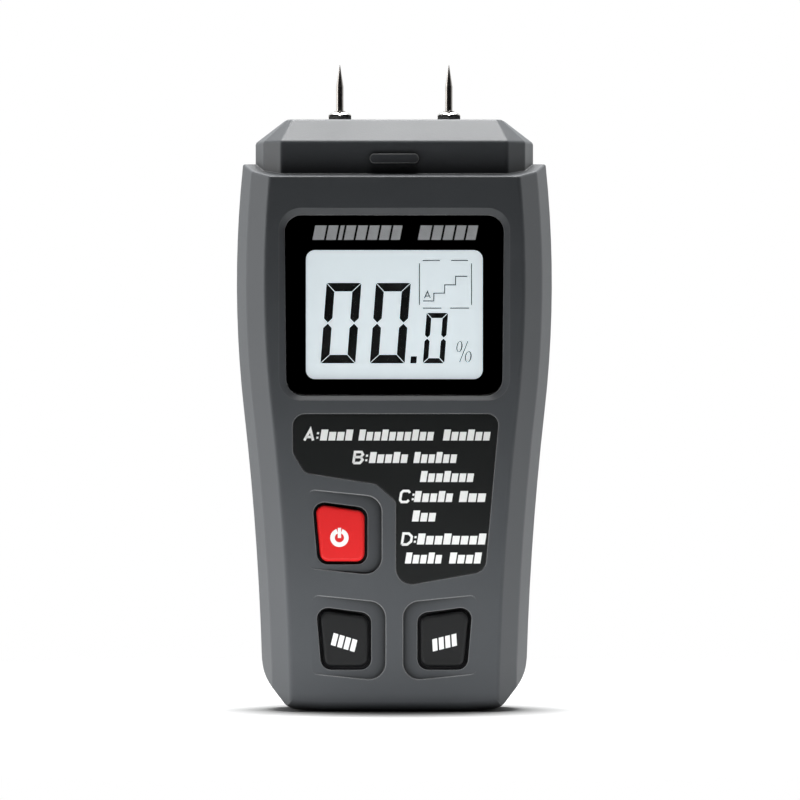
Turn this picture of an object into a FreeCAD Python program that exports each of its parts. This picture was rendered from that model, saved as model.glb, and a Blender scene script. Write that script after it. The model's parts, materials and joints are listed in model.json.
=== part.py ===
import FreeCAD, Part
import math
import os
import re
import Sketcher
from FreeCAD import Placement, Rotation, Vector

# Pocket two-pin moisture meter, standing upright on its bottom end.
# X runs across the meter, Y from the front (-Y) to the back, Z up along its length.
# The origin is under the middle of the case, on the surface that it stands on.

DOC = FreeCAD.newDocument("MoistureMeter")
SHEET = DOC.addObject("Spreadsheet::Sheet", "Sizes")

# Driving dimensions in millimetres: alias, value, what it is.
SIZES = [
    ("case_depth", 30.0, "front face to back face"),
    ("case_half_width", 31.8, "half the width at the widest level"),
    ("case_height", 110.0, "bottom to the shoulders beside the head"),
    ("wall", 2.2, "wall of both case shells"),
    ("run_out", 8.0, "how far the side outline runs past each end before it is trimmed"),
    ("top_taper", 2.257, "how much narrower the side outline is at its top end"),
    ("joint_taper", 1.466, "how much narrower the sides are where their two arcs meet"),
    ("joint_drop", 49.81, "shoulders down to where the two side arcs meet"),
    ("foot_taper", 5.322, "how much narrower the side outline is at its bottom end"),
    ("bulge_radius", 228.0, "upper, outward arc of the sides; the lower arc runs on from it"),
    ("chamfer_depth", 6.0, "front face back to the inner edge of the side chamfer"),
    ("side_lean", 2.1, "inset of the chamfer's back edge from the outline"),
    ("front_inset", 5.8, "inset of the front face from the outline"),
    ("facet_round", 1.0, "rounding between front face and chamfer"),
    ("side_round", 2.0, "rounding between chamfer and side"),
    ("shoulder_drop", 2.8, "fall of the shoulder from the seam to the front face"),
    ("rim_round", 0.5, "rounding of the shoulder rim"),
    ("foot_flat", 14.0, "half width of the flat part of the bottom"),
    ("foot_in", 10.6, "bottom corner, inner end, from the outline"),
    ("foot_rise", 0.6, "bottom corner, inner end, above the bottom"),
    ("corner_in", 5.5, "bottom corner, outer end, from the outline"),
    ("corner_rise", 6.9, "bottom corner, outer end, above the bottom"),
    ("foot_round", 2.0, "rounding of the bottom edge"),
    ("head_half_width", 28.0, "half width of the head at the seam"),
    ("head_chamfer_in", 1.7, "head outline in to its chamfer"),
    ("head_front_in", 5.3, "head outline in to its front face"),
    ("head_setback", 2.8, "head front behind the case front"),
    ("head_chamfer_depth", 4.0, "head front back to the chamfer's far edge"),
    ("head_rise", 4.2, "upright part of the head above the shoulders"),
    ("slope_rise", 4.6, "height of the head's sloped faces"),
    ("slope_run", 4.6, "run of the head's front slope"),
    ("slope_side", 6.0, "run of the head's side slope"),
    ("head_round", 0.9, "rounding of the head's edges"),
    ("catch_length", 9.7, "raised bar that the pin cap clips over"),
    ("catch_height", 1.8, "height of that bar"),
    ("catch_stand", 0.5, "how far that bar stands out"),
    ("catch_drop", 0.8, "shoulder level up to the middle of that bar"),
    ("lens_half_width", 21.9, "half the lens width at its top"),
    ("lens_taper", 0.35, "how much narrower each side is at the lens's bottom"),
    ("lens_height", 36.0, "lens top to bottom"),
    ("lens_drop", 10.7, "shoulders down to the lens"),
    ("lens_radius", 3.4, "lens corners"),
    ("lens_recess", 0.7, "lens face behind the case front"),
    ("lens_thick", 1.2, "lens plate"),
    ("lens_gap", 0.1, "round the lens"),
    ("bevel_width", 1.5, "slope round the lens"),
    ("bevel_bottom", 1.0, "slope under the lens"),
    ("mask_thick", 0.15, "printed film behind the lens"),
    ("mask_side", 4.2, "black border at each side of the display window"),
    ("mask_top", 6.9, "black border over the display window"),
    ("mask_bottom", 3.3, "black border under the display window"),
    ("window_radius", 1.8, "corners of the display window"),
    ("ledge_thick", 0.8, "shelf that the lens is stuck on"),
    ("ledge_back", 1.0, "shelf edge behind the window's edge"),
    ("board_set", 6.6, "front of the case to the circuit board"),
    ("board_thick", 1.6, "circuit board"),
    ("board_half_upper", 22.0, "half width of the board behind the display"),
    ("board_half_lower", 16.5, "half width of the board behind the keys"),
    ("board_foot", 7.5, "bottom edge of the board"),
    ("board_step", 46.0, "level at which the board widens"),
    ("board_drop", 15.4, "shoulders down to the board's top edge"),
    ("lcd_thick", 2.0, "display glass"),
    ("lcd_gap", 0.1, "display glass to the shelf in front of it"),
    ("lcd_side", 1.9, "display glass beyond the window at each side"),
    ("lcd_end", 2.1, "display glass beyond the window at top and bottom"),
    ("frame_wall", 1.0, "display frame wall"),
    ("strip_height", 1.6, "contact strip height"),
    ("light_thick", 1.3, "light guide behind the display"),
    ("label_recess", 0.35, "recess that the label is stuck in"),
    ("label_thick", 0.3, "label plate"),
    ("label_gap", 0.12, "round the label"),
    ("label_left", 20.2, "label's left edge from the middle"),
    ("label_right", 20.9, "label's right edge from the middle"),
    ("label_drop", 50.5, "shoulders down to the label"),
    ("label_band", 11.6, "height of the label's wide upper part"),
    ("label_leg", 0.4, "left edge of the label's leg from the middle"),
    ("label_foot", 25.0, "bottom of the label's leg"),
    ("label_slant", 2.8, "how far the leg's right edge leans in"),
    ("power_across", 10.75, "power key from the middle"),
    ("power_up", 35.6, "level of the power key"),
    ("pair_across", 10.0, "mode and hold keys from the middle"),
    ("pair_up", 14.5, "level of the mode and hold keys"),
    ("key_outer", 5.1, "key centre out to its outer edge"),
    ("key_inner", 4.8, "key centre in to its inner edge"),
    ("key_tall", 6.1, "key centre up to its outer top corner"),
    ("key_short", 4.6, "key centre up to its inner top corner"),
    ("key_low", 5.5, "key centre down to its bottom edge"),
    ("key_tuck", 1.1, "how far the outer bottom corner is drawn in"),
    ("dish_radius", 60.0, "hollow of a key's face"),
    ("dish_sag", 0.2, "depth of that hollow"),
    ("scoop_depth", 1.35, "thumb scoop beside a key, at its deep inner side"),
    ("scoop_inner", 8.3, "key centre to the scoop's deep edge"),
    ("scoop_outer", 6.4, "key centre to where the scoop runs out"),
    ("scoop_high", 8.9, "key centre up to the scoop's outer top corner"),
    ("scoop_low", 8.4, "key centre down to the scoop's inner bottom corner"),
    ("scoop_slant", 1.5, "how much lower or higher the scoop's other corners are"),
    ("scoop_round", 3.4, "inner corners of the scoop"),
    ("key_gap", 0.6, "round each key cap"),
    ("key_sink", 0.1, "key face behind the case front"),
    ("key_travel", 0.4, "how far a key goes in"),
    ("key_flange", 0.7, "thickness of a key's carrier plate"),
    ("flange_gap", 0.1, "carrier plate to the inside of the front wall"),
    ("flange_reach", 0.6, "carrier plate beyond the key's hole"),
    ("key_round", 0.7, "rounding of a key's face"),
    ("key_corner", 1.7, "corners of a key"),
    ("hole_corner", 2.2, "corners of a key's hole"),
    ("switch_reach", 0.7, "plunger above its housing"),
    ("switch_side", 6.0, "switch housing, square"),
    ("plunger_radius", 1.7, "switch plunger"),
    ("plunger_gap", 0.25, "round the switch plunger"),
    ("plunger_depth", 1.4, "bore that the plunger goes into"),
    ("stem_radius", 2.2, "stem of a key's carrier"),
    ("stem_reach", 0.3, "stem behind the carrier plate"),
    ("pin_pitch", 22.0, "between the two electrode pins"),
    ("pin_radius", 0.75, "electrode pin"),
    ("pin_reach", 11.2, "pin above the head"),
    ("pin_point", 4.4, "length of the pin's point"),
    ("pin_seat", 7.0, "pin inside its socket"),
    ("pin_root", 1.1, "radius of the pin's thicker root"),
    ("pin_collar", 0.3, "root above the nut"),
    ("nut_across", 4.6, "pin nut across its flats"),
    ("nut_height", 1.6, "pin nut"),
    ("nut_dome", 3.9, "rounding of the pin nut's top corners"),
    ("socket_radius", 2.2, "brass pin socket"),
    ("socket_length", 14.0, "brass pin socket, below the head's top"),
    ("lug_thick", 0.5, "solder lug under the socket"),
    ("lug_half_width", 1.1, "half the width of the lug's tab"),
    ("lug_reach", 6.0, "lug's tab in front of the socket's middle"),
    ("pin_lead_front", 4.6, "pin leads in front of the socket's middle"),
    ("pin_lead_drop", 13.0, "lug down to where the pin leads turn to the board"),
    ("lead_radius", 0.6, "insulated lead"),
    ("battery_width", 26.5, "battery"),
    ("battery_thick", 17.5, "battery"),
    ("battery_can", 46.4, "battery can without its terminals"),
    ("battery_rise", 8.4, "bottom of the battery above the bottom of the case"),
    ("battery_play", 0.4, "room round the battery in its tray"),
    ("tray_wall", 1.0, "walls of the battery tray"),
    ("tray_top", 65.0, "inside of the tray's top wall"),
    ("door_thick", 2.1, "battery door"),
    ("door_side", 1.75, "battery's side out to the door's outer edge"),
    ("door_length", 62.0, "battery door"),
    ("door_lift", 0.3, "door's bottom end above the surface"),
    ("door_gap", 0.15, "round the door"),
    ("tongue_reach", 1.1, "door's tongue at each side"),
    ("tongue_thick", 1.0, "door's tongue"),
    ("foam_thick", 0.5, "foam pad on the door side of the battery"),
    ("foam_play", 0.1, "foam to door"),
    ("grip_half_width", 9.0, "ribbed thumb rest on the door"),
    ("grip_height", 13.0, "thumb rest"),
    ("grip_depth", 0.7, "thumb rest"),
    ("grip_rib", 0.9, "ribs in the thumb rest"),
    ("screw_side_low", 6.05, "battery's side out to the lower case screws"),
    ("screw_side_high", 21.0, "upper case screws, from the middle"),
    ("screw_low", 31.0, "level of the lower case screws"),
    ("screw_high_drop", 12.0, "shoulders down to the upper case screws"),
    ("screw_head", 1.95, "head radius"),
    ("screw_head_high", 1.6, "head height"),
    ("screw_shank", 1.1, "shank radius"),
    ("screw_sink", 6.0, "head's top below the back of the case"),
    ("screw_length", 13.0, "shank"),
    ("boss_radius", 3.0, "screw boss in the rear shell"),
    ("post_radius", 2.4, "screw post in the front shell"),
    ("boss_gap", 0.4, "between a rear boss and its front post"),
    ("rail_thick", 1.2, "rails that the door's tongues run on"),
    ("rail_reach", 3.75, "inside of the tray out to the outer edge of those rails"),
    ("board_screw_across", 19.4, "board screws from the middle"),
    ("board_screw_up", 53.5, "level of the board screws"),
    ("board_post", 1.9, "board posts"),
    ("board_screw_shank", 0.8, "board screw shank"),
    ("board_screw_head", 1.6, "board screw head"),
    ("rest_radius", 1.5, "posts that the board rests on"),
    ("seam_groove", 0.3, "shadow line round the seam"),
    ("snap_height", 4.0, "battery snap"),
    ("terminal_high", 2.1, "battery terminals"),
    ("terminal_across", 6.35, "battery terminals from the middle"),
    ("lead_hole", 1.5, "holes in the tray for the battery leads"),
    ("lead_across", 4.0, "battery leads from the middle"),
    ("lead_up", 62.0, "level at which the battery leads cross"),
    ("rear_label_recess", 0.3, "recess for the blank rear label"),
    ("rear_label_half", 17.0, "half width of the rear label"),
    ("rear_label_drop", 17.0, "shoulders down to the rear label"),
    ("rear_label_up", 9.0, "top of the door up to the rear label"),
    ("foot_inner_round", 4.0, "outline's bottom corner, inner end"),
    ("foot_outer_round", 8.0, "outline's bottom corner, outer end"),
    ("flank_out", 1.2, "bottom form beyond the outline at its sides"),
    ("flank_up", 60.0, "level from which the bottom form runs wide"),
    ("board_corner", 1.0, "corners of the circuit board"),
    ("board_widening", 3.0, "height over which the board widens"),
    ("chip_drop", 15.0, "top of the board down to the controller chip"),
    ("chip_half", 4.0, "half the width of the chip"),
    ("chip_high", 1.4, "chip's case"),
    ("chip_lift", 0.1, "chip's case above the board"),
    ("chip_leg", 1.0, "legs beyond the chip's case"),
    ("chip_legs_half", 3.4, "half the width of the rows of legs"),
    ("chip_leg_thick", 0.25, "thickness of the legs"),
    ("crystal_radius", 1.5, "crystal's can"),
    ("crystal_length", 6.5, "crystal's can"),
    ("crystal_across", 8.5, "crystal, from the middle"),
    ("capacitor_radius", 2.0, "capacitors"),
    ("capacitor_length", 5.0, "capacitors"),
    ("capacitor_across", 14.0, "outer capacitor, from the middle"),
    ("capacitor_pitch", 5.0, "between the capacitors"),
    ("resistor_pitch", 3.0, "between the resistors"),
    ("resistor_long", 1.6, "chip resistor"),
    ("resistor_wide", 0.8, "chip resistor"),
    ("resistor_high", 0.5, "chip resistor"),
    ("resistor_drop", 9.5, "chip down to the row of resistors"),
    ("resistor_across", 9.0, "first resistor, from the middle"),
    ("slot_long", 1.3, "half the length of a screw's cross recess"),
    ("slot_wide", 0.3, "half the width of a screw's cross recess"),
    ("slot_deep", 0.7, "depth of a screw's cross recess"),
]


def fill_sheet():
    """Write the driving dimensions into the spreadsheet, one row each."""
    for row, (alias, size, note) in enumerate(SIZES, 1):
        SHEET.set(f"A{row}", alias)
        SHEET.set(f"B{row}", str(size))
        SHEET.set(f"C{row}", note)
        SHEET.setAlias(f"B{row}", alias)
    DOC.recompute()


ALIASES = {alias for alias, size, note in SIZES}


def formula(text):
    """The expression with every driving dimension read from the sheet."""
    return re.sub(r"[a-z_]+", lambda word: "Sizes." + word[0] if word[0] in ALIASES else word[0], str(text))


def value(text):
    """The present value of an expression."""
    result = SHEET.evalExpression(formula(text))
    return getattr(result, "Value", result)


def bind(thing, **sizes):
    """Bind properties of a document object to expressions."""
    for name, text in sizes.items():
        thing.setExpression(name, formula(text))


# Levels through the depth of the meter, from the front to the back
FRONT = "-case_depth / 2"
BACK = "case_depth / 2"
FRONT_INSIDE = "-case_depth / 2 + wall"
BACK_INSIDE = "case_depth / 2 - wall"
LENS_FACE = "-case_depth / 2 + lens_recess"
LENS_BACK = LENS_FACE + " + lens_thick"
SHELF_FACE = LENS_BACK + " + mask_thick"
SHELF_BACK = SHELF_FACE + " + ledge_thick"
LCD_FACE = SHELF_BACK + " + lcd_gap"
LCD_BACK = LCD_FACE + " + lcd_thick"
BOARD_FACE = "-case_depth / 2 + board_set"
BOARD_BACK = BOARD_FACE + " + board_thick"
FLANGE_FACE = FRONT_INSIDE + " + flange_gap"
FLANGE_BACK = FLANGE_FACE + " + key_flange"
PLUNGER_FACE = FLANGE_BACK + " + stem_reach"
SWITCH_FACE = PLUNGER_FACE + " + switch_reach"
DOOR_INSIDE = "case_depth / 2 - door_thick"
BATTERY_BACK = DOOR_INSIDE + " - foam_play - foam_thick"
BATTERY_FACE = BATTERY_BACK + " - battery_thick"
TRAY_INSIDE = BATTERY_FACE + " - battery_play / 2"
TRAY_FACE = TRAY_INSIDE + " - tray_wall"

# Levels up the meter
HEAD_WALL_TOP = "case_height + head_rise"
HEAD_TOP = "case_height + head_rise + slope_rise"
LENS_TOP = "case_height - lens_drop"
LENS_BOTTOM = "case_height - lens_drop - lens_height"
WINDOW_TOP = LENS_TOP + " - mask_top"
WINDOW_BOTTOM = LENS_BOTTOM + " + mask_bottom"
WINDOW_HALF = "lens_half_width - mask_side"
BATTERY_TOP = "battery_rise + battery_can"

TURNS = {
    "front": Rotation(Vector(1, 0, 0), 90),
    "level": Rotation(),
    "side": Rotation(Vector(1, 1, 1), 120),
}
DEPTH_AXIS = {"front": "y", "level": "z", "side": "x"}
NODES = []
# How close two levels are to count as the same, in millimetres
NEAR = 0.01


def node(thing, label):
    """Give a finished sub-part its own name and keep it for the export."""
    thing.Label = label
    NODES.append(thing)
    return thing


def blank_sketch(name, plane, level):
    """An empty sketch parallel to a world plane, at a level along that plane's axis."""
    sketch = DOC.addObject("Sketcher::SketchObject", name)
    sketch.Placement = Placement(Vector(), TURNS[plane])
    bind(sketch, **{".Placement.Base." + DEPTH_AXIS[plane]: level})
    return sketch


def pin_down(sketch, piece, end, across, up):
    """Fix one end of a sketch piece at a place given by two expressions."""
    for kind, text in (("DistanceX", across), ("DistanceY", up)):
        place = sketch.addConstraint(Sketcher.Constraint(kind, -1, 1, piece, end, value(text)))
        bind(sketch, **{f"Constraints[{place}]": text})


def add_arc(sketch, start, middle, finish):
    """Add an arc, which a sketch keeps anticlockwise; returns it and the number of its start's end."""
    if (middle - start).cross(finish - middle).z > 0:
        return sketch.addGeometry(Part.Arc(start, middle, finish), False), 1
    return sketch.addGeometry(Part.Arc(finish, middle, start), False), 2


def round_corner(sketch, before, after, corner, radius, ends):
    """A tangent arc between two sketch lines, with the corner kept as a construction point."""
    arc, first = add_arc(sketch, *ends)
    sketch.addConstraint(Sketcher.Constraint("Tangent", before, 2, arc, first))
    sketch.addConstraint(Sketcher.Constraint("Tangent", after, 1, arc, 3 - first))
    place = sketch.addConstraint(Sketcher.Constraint("Radius", arc, value(radius)))
    bind(sketch, **{f"Constraints[{place}]": radius})
    point = sketch.addGeometry(Part.Point(corner), True)
    sketch.addConstraint(Sketcher.Constraint("PointOnObject", point, 1, before))
    sketch.addConstraint(Sketcher.Constraint("PointOnObject", point, 1, after))
    return point


def outline(name, plane, level, corners):
    """A closed sketch through corners (across, up) or (across, up, radius), all expressions."""
    sketch = blank_sketch(name, plane, level)
    points = [Vector(value(corner[0]), value(corner[1]), 0) for corner in corners]
    radii = [value(corner[2]) if len(corner) > 2 else 0 for corner in corners]
    arcs = []
    for index, point in enumerate(points):
        back = (points[index - 1] - point).normalize()
        ahead = (points[(index + 1) % len(points)] - point).normalize()
        half = back.getAngle(ahead) / 2
        inward = (back + ahead).normalize()
        reach = radii[index] / math.tan(half)
        middle = point + inward * (radii[index] / math.sin(half) - radii[index])
        arcs.append((point + back * reach, middle, point + ahead * reach))
    lines = []
    for index in range(len(points)):
        finish = arcs[(index + 1) % len(points)][0]
        lines.append(sketch.addGeometry(Part.LineSegment(arcs[index][2], finish), False))
    for index, corner in enumerate(corners):
        before, after = lines[index - 1], lines[index]
        if radii[index]:
            spot = round_corner(sketch, before, after, points[index], corner[2], arcs[index])
        else:
            sketch.addConstraint(Sketcher.Constraint("Coincident", before, 2, after, 1))
            spot = after
        pin_down(sketch, spot, 1, corner[0], corner[1])
    return sketch


def mirrored(corners):
    """The right-hand corners of a symmetric outline, followed by their left-hand twins."""
    return corners + [("-(%s)" % corner[0],) + tuple(corner[1:]) for corner in reversed(corners)]


def oblong(left, right, bottom, top, *radius):
    """Corners of an upright rectangle, with one corner radius or none."""
    sides = ((left, bottom), (right, bottom), (right, top), (left, top))
    return [side + radius for side in sides]


def extrude(name, sketch, length):
    """Extrude a sketch along +X, +Y or +Z, whichever its plane faces."""
    solid = DOC.addObject("Part::Extrusion", name)
    solid.Base = sketch
    solid.DirMode = "Normal"
    solid.Solid = True
    solid.Reversed = sketch.Placement.Rotation.multVec(Vector(0, 0, 1)).y < -0.5
    bind(solid, LengthFwd=length)
    return solid


def prism(name, plane, start, finish, corners):
    """A prism from one level to another along the plane's axis."""
    return extrude(name, outline(name + "_outline", plane, start, corners), f"({finish}) - ({start})")


def block(name, x_span, y_span, z_span):
    """A box between two levels on each axis."""
    box = DOC.addObject("Part::Box", name)
    spans = (("x", "Length", x_span), ("y", "Width", y_span), ("z", "Height", z_span))
    for axis, side, (start, finish) in spans:
        bind(box, **{".Placement.Base." + axis: start, side: f"({finish}) - ({start})"})
    return box


def rod(name, axis, centre, radius, length):
    """A cylinder that starts at a centre and runs along +X, +Y or +Z."""
    cylinder = DOC.addObject("Part::Cylinder", name)
    turn = {"x": Rotation(Vector(0, 1, 0), 90), "y": Rotation(Vector(1, 0, 0), -90), "z": Rotation()}
    cylinder.Placement = Placement(Vector(), turn[axis])
    for letter, place in zip("xyz", centre):
        bind(cylinder, **{".Placement.Base." + letter: place})
    bind(cylinder, Radius=radius, Height=length)
    return cylinder


def fuse(name, *things):
    """One solid of several."""
    joined = DOC.addObject("Part::MultiFuse", name)
    joined.Shapes = list(things)
    joined.Refine = True
    return joined


def common(name, *things):
    """What several solids share."""
    shared = DOC.addObject("Part::MultiCommon", name)
    shared.Shapes = list(things)
    shared.Refine = True
    return shared


def cut(name, base, *tools):
    """A solid without the space of others."""
    result = DOC.addObject("Part::Cut", name)
    result.Base = base
    result.Tool = tools[0] if len(tools) == 1 else fuse(name + "_tools", *tools)
    result.Refine = True
    return result


def group(name, *things):
    """Separate solids kept as one sub-part."""
    bundle = DOC.addObject("Part::Compound", name)
    bundle.Links = list(things)
    return bundle


def rounded(name, base, *picks):
    """Round the edges of a solid: each pick is a test on an edge and the radius it gets."""
    DOC.recompute()
    result = DOC.addObject("Part::Fillet", name)
    result.Base = base
    edges = []
    for choose, radius in picks:
        size = value(radius)
        edges += [(index, size, size) for index, edge in enumerate(base.Shape.Edges, 1) if choose(edge)]
    result.Edges = edges
    return result


def loft(name, *sketches):
    """A ruled solid through closed sketches."""
    solid = DOC.addObject("Part::Loft", name)
    solid.Sections = list(sketches)
    solid.Solid = True
    solid.Ruled = True
    return solid


# ---------------------------------------------------------------- the case

# Each side is an upper arc that bows outward and a lower one that runs on from it and bows inward.
UPPER_SPAN = "sqrt((joint_taper - top_taper)^2 + (joint_drop + run_out)^2)"
UPPER_LEAN = "atan((joint_taper - top_taper) / (joint_drop + run_out))"
LOWER_SPAN = "sqrt((foot_taper - joint_taper)^2 + (case_height - joint_drop + run_out)^2)"
LOWER_LEAN = "atan((foot_taper - joint_taper) / (case_height - joint_drop + run_out))"
LOWER_TURN = f"{UPPER_LEAN} + asin({UPPER_SPAN} / 2 / bulge_radius) - {LOWER_LEAN}"
WAIST_RADIUS = f"{LOWER_SPAN} / 2 / sin({LOWER_TURN})"


def side_section(name, level, inset):
    """The case outline at one depth."""
    sketch = blank_sketch(name, "front", level)
    ends = [
        ("case_half_width - foot_taper", "-run_out"),
        ("case_half_width - joint_taper", "case_height - joint_drop"),
        ("case_half_width - top_taper", "case_height + run_out"),
    ]
    ends = mirrored([(f"{across} - ({inset})", up) for across, up in ends])
    points = [Vector(value(across), value(up), 0) for across, up in ends]
    bows = {0: (WAIST_RADIUS, -1), 1: ("bulge_radius", 1), 3: ("bulge_radius", 1), 4: (WAIST_RADIUS, -1)}
    pieces = []
    for index, start in enumerate(points):
        finish = points[(index + 1) % len(points)]
        if index in bows:
            radius, bow = bows[index]
            chord = finish - start
            rise = value(radius) - math.sqrt(value(radius) ** 2 - chord.Length ** 2 / 4)
            outward = Vector(chord.y, -chord.x, 0).normalize()
            pieces.append(add_arc(sketch, start, (start + finish) / 2 + outward * rise * bow, finish))
        else:
            pieces.append((sketch.addGeometry(Part.LineSegment(start, finish), False), 1))
    for index, (piece, near) in enumerate(pieces):
        before, first = pieces[index - 1]
        sketch.addConstraint(Sketcher.Constraint("Coincident", piece, near, before, 3 - first))
        pin_down(sketch, piece, near, *ends[index])
    for index, (radius, bow) in bows.items():
        place = sketch.addConstraint(Sketcher.Constraint("Radius", pieces[index][0], value(radius)))
        bind(sketch, **{f"Constraints[{place}]": radius})
    return sketch


def long_edge_at(depth):
    """Picks the edges that run the length of the case at one depth, front and back."""
    def choose(edge):
        box = edge.BoundBox
        return box.ZLength > 20 and box.YLength < NEAR and abs(abs(box.YMin) - depth) < NEAR
    return choose


def case_form(name, inset):
    """The outside of the case below the head, or with an inset the space inside its walls."""
    chamfer_level = "case_depth / 2 - chamfer_depth"
    face_level = f"case_depth / 2 - ({inset})"
    sections = [
        side_section(name + "_front", f"-({face_level})", f"front_inset + ({inset})"),
        side_section(name + "_front_chamfer", f"-({chamfer_level})", f"side_lean + ({inset})"),
        side_section(name + "_seam", "0", inset),
        side_section(name + "_back_chamfer", chamfer_level, f"side_lean + ({inset})"),
        side_section(name + "_back", face_level, f"front_inset + ({inset})"),
    ]
    barrel = loft(name + "_barrel", *sections)
    if inset == "0":
        face_edge = long_edge_at(value(face_level))
        side_edge = long_edge_at(value(chamfer_level))
        barrel = rounded(name + "_facets", barrel, (face_edge, "facet_round"), (side_edge, "side_round"))
    foot = prism(name + "_foot", "front", f"-({face_level})", face_level, mirrored([
        ("foot_flat", inset),
        (f"case_half_width - foot_in - ({inset})", f"foot_rise + ({inset})", "foot_inner_round"),
        (f"case_half_width - corner_in - ({inset})", f"corner_rise + ({inset})", "foot_outer_round"),
        (f"case_half_width + flank_out - ({inset})", "flank_up"),
        ("case_half_width * 2", "case_height + 40"),
    ]))
    if inset == "0":
        foot = rounded(name + "_foot_round", foot, (at_depth(value(face_level)), "foot_round"))
    shoulder = prism(name + "_shoulder", "side", "-case_half_width * 2", "case_half_width * 2", [
        (f"-({face_level})", "-20"),
        (face_level, "-20"),
        (face_level, f"case_height - shoulder_drop - ({inset})"),
        ("0", f"case_height - ({inset})"),
        (f"-({face_level})", f"case_height - shoulder_drop - ({inset})"),
    ])
    whole = common(name, barrel, foot, shoulder)
    if inset != "0":
        return whole
    return rounded(name + "_rim", whole, (shoulder_rim, "rim_round"))


def shoulder_rim(edge):
    """Picks the rim between the shoulders and the front, back and chamfers."""
    box = edge.BoundBox
    near_top = box.ZMin > value("case_height - shoulder_drop") - 0.3
    along_seam = box.YLength < NEAR and abs(box.YMin) < NEAR
    return near_top and not along_seam


def at_depth(depth):
    """Picks the edges that lie flat at one depth, front and back."""
    def choose(edge):
        box = edge.BoundBox
        return box.YLength < NEAR and abs(abs(box.YMin) - depth) < NEAR
    return choose


def head_plan(name, level, inset, side_run, front_run, chamfer):
    """The head's plan at one level: a long shape with chamfered ends, made of ten corners."""
    half = f"head_half_width - ({inset}) - ({side_run})"
    face = f"case_depth / 2 - head_setback - ({inset}) - ({front_run})"
    right = [
        (f"{half} - head_front_in{chamfer}", f"-({face})"),
        (f"{half} - head_chamfer_in{chamfer}", f"-({face} - head_chamfer_depth{chamfer})"),
        (half, "0"),
        (f"{half} - head_chamfer_in{chamfer}", f"{face} - head_chamfer_depth{chamfer}"),
        (f"{half} - head_front_in{chamfer}", face),
    ]
    return outline(name, "level", level, mirrored(right))


def head_form(name, inset):
    """The head: upright walls, then faces that slope in to a flat top."""
    base = head_plan(name + "_plan", "case_height - 12", inset, "0", "0", "")
    walls = extrude(name + "_walls", base, f"12 + head_rise - ({inset}) / 2")
    slope = loft(
        name + "_slopes",
        head_plan(name + "_low", f"{HEAD_WALL_TOP} - ({inset}) / 2", inset, "0", "0", ""),
        head_plan(name + "_high", f"{HEAD_TOP} - ({inset})", inset, "slope_side", "slope_run", " * 0.3"),
    )
    head = fuse(name, walls, slope)
    if inset != "0":
        return head
    return rounded(name + "_rounded", head, (head_edge, "head_round"))


def head_edge(edge):
    """Picks the head's outer edges, but not the outline of its foot or the line round its middle."""
    box = edge.BoundBox
    in_foot = box.ZMax < value("case_height")
    along_seam = box.YLength < NEAR and abs(box.YMin) < NEAR
    return not in_foot and not along_seam


# ---------------------------------------------------------------- shapes that several pieces share

BOTTOMLESS = "-20"
TOPLESS = "case_height + 40"
WIDE = "case_half_width * 2"


def lens_corners(grow, radius):
    """The lens outline, grown by a gap."""
    return mirrored([
        (f"lens_half_width - lens_taper + ({grow})", f"{LENS_BOTTOM} - ({grow})", radius),
        (f"lens_half_width + ({grow})", f"{LENS_TOP} + ({grow})", radius),
    ])


def window_corners(grow, radius):
    """The display window, grown by a margin."""
    half = f"{WINDOW_HALF} + ({grow})"
    return oblong(f"-({half})", half, f"{WINDOW_BOTTOM} - ({grow})", f"{WINDOW_TOP} + ({grow})", radius)


def label_corners(grow):
    """The stepped outline of the label: a wide band with a leg down its right side."""
    band = "case_height - label_drop - label_band"
    return [
        (f"-label_left - ({grow})", f"case_height - label_drop + ({grow})", "2.4"),
        (f"-label_left - ({grow})", f"{band} + 4 - ({grow})", "2"),
        (f"-label_left + 2.4 - ({grow})", f"{band} - ({grow})", "2"),
        (f"label_leg - 4 - ({grow})", f"{band} - 2.2 - ({grow})", "1.6"),
        (f"label_leg - ({grow})", f"{band} - 5.6 - ({grow})", "1.6"),
        (f"label_leg - ({grow})", f"label_foot - ({grow})", "3.2"),
        (f"label_right - label_slant + ({grow})", f"label_foot + 3.2 - ({grow})", "2.6"),
        (f"label_right + ({grow})", f"case_height - label_drop + ({grow})", "2.2"),
    ]


# Each key: name, the side that its outer edge faces, its centre across and up.
KEYS = [
    ("power", -1, "-power_across", "power_up"),
    ("mode", -1, "-pair_across", "pair_up"),
    ("hold", 1, "pair_across", "pair_up"),
]


def key_corners(key, grow, radius):
    """The four-sided outline of a key, grown by a gap; the hold key is a mirror of the mode key."""
    name, side, across, up = key
    corners = [
        (f"key_outer - key_tuck + ({grow})", f"-key_low - ({grow})"),
        (f"-key_inner - ({grow})", f"-key_low - ({grow})"),
        (f"-key_inner - ({grow})", f"key_short + ({grow})"),
        (f"key_outer + ({grow})", f"key_tall + ({grow})"),
    ]
    return [(f"{across} + {side} * ({out})", f"{up} + ({high})", radius) for out, high in corners]


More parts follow.
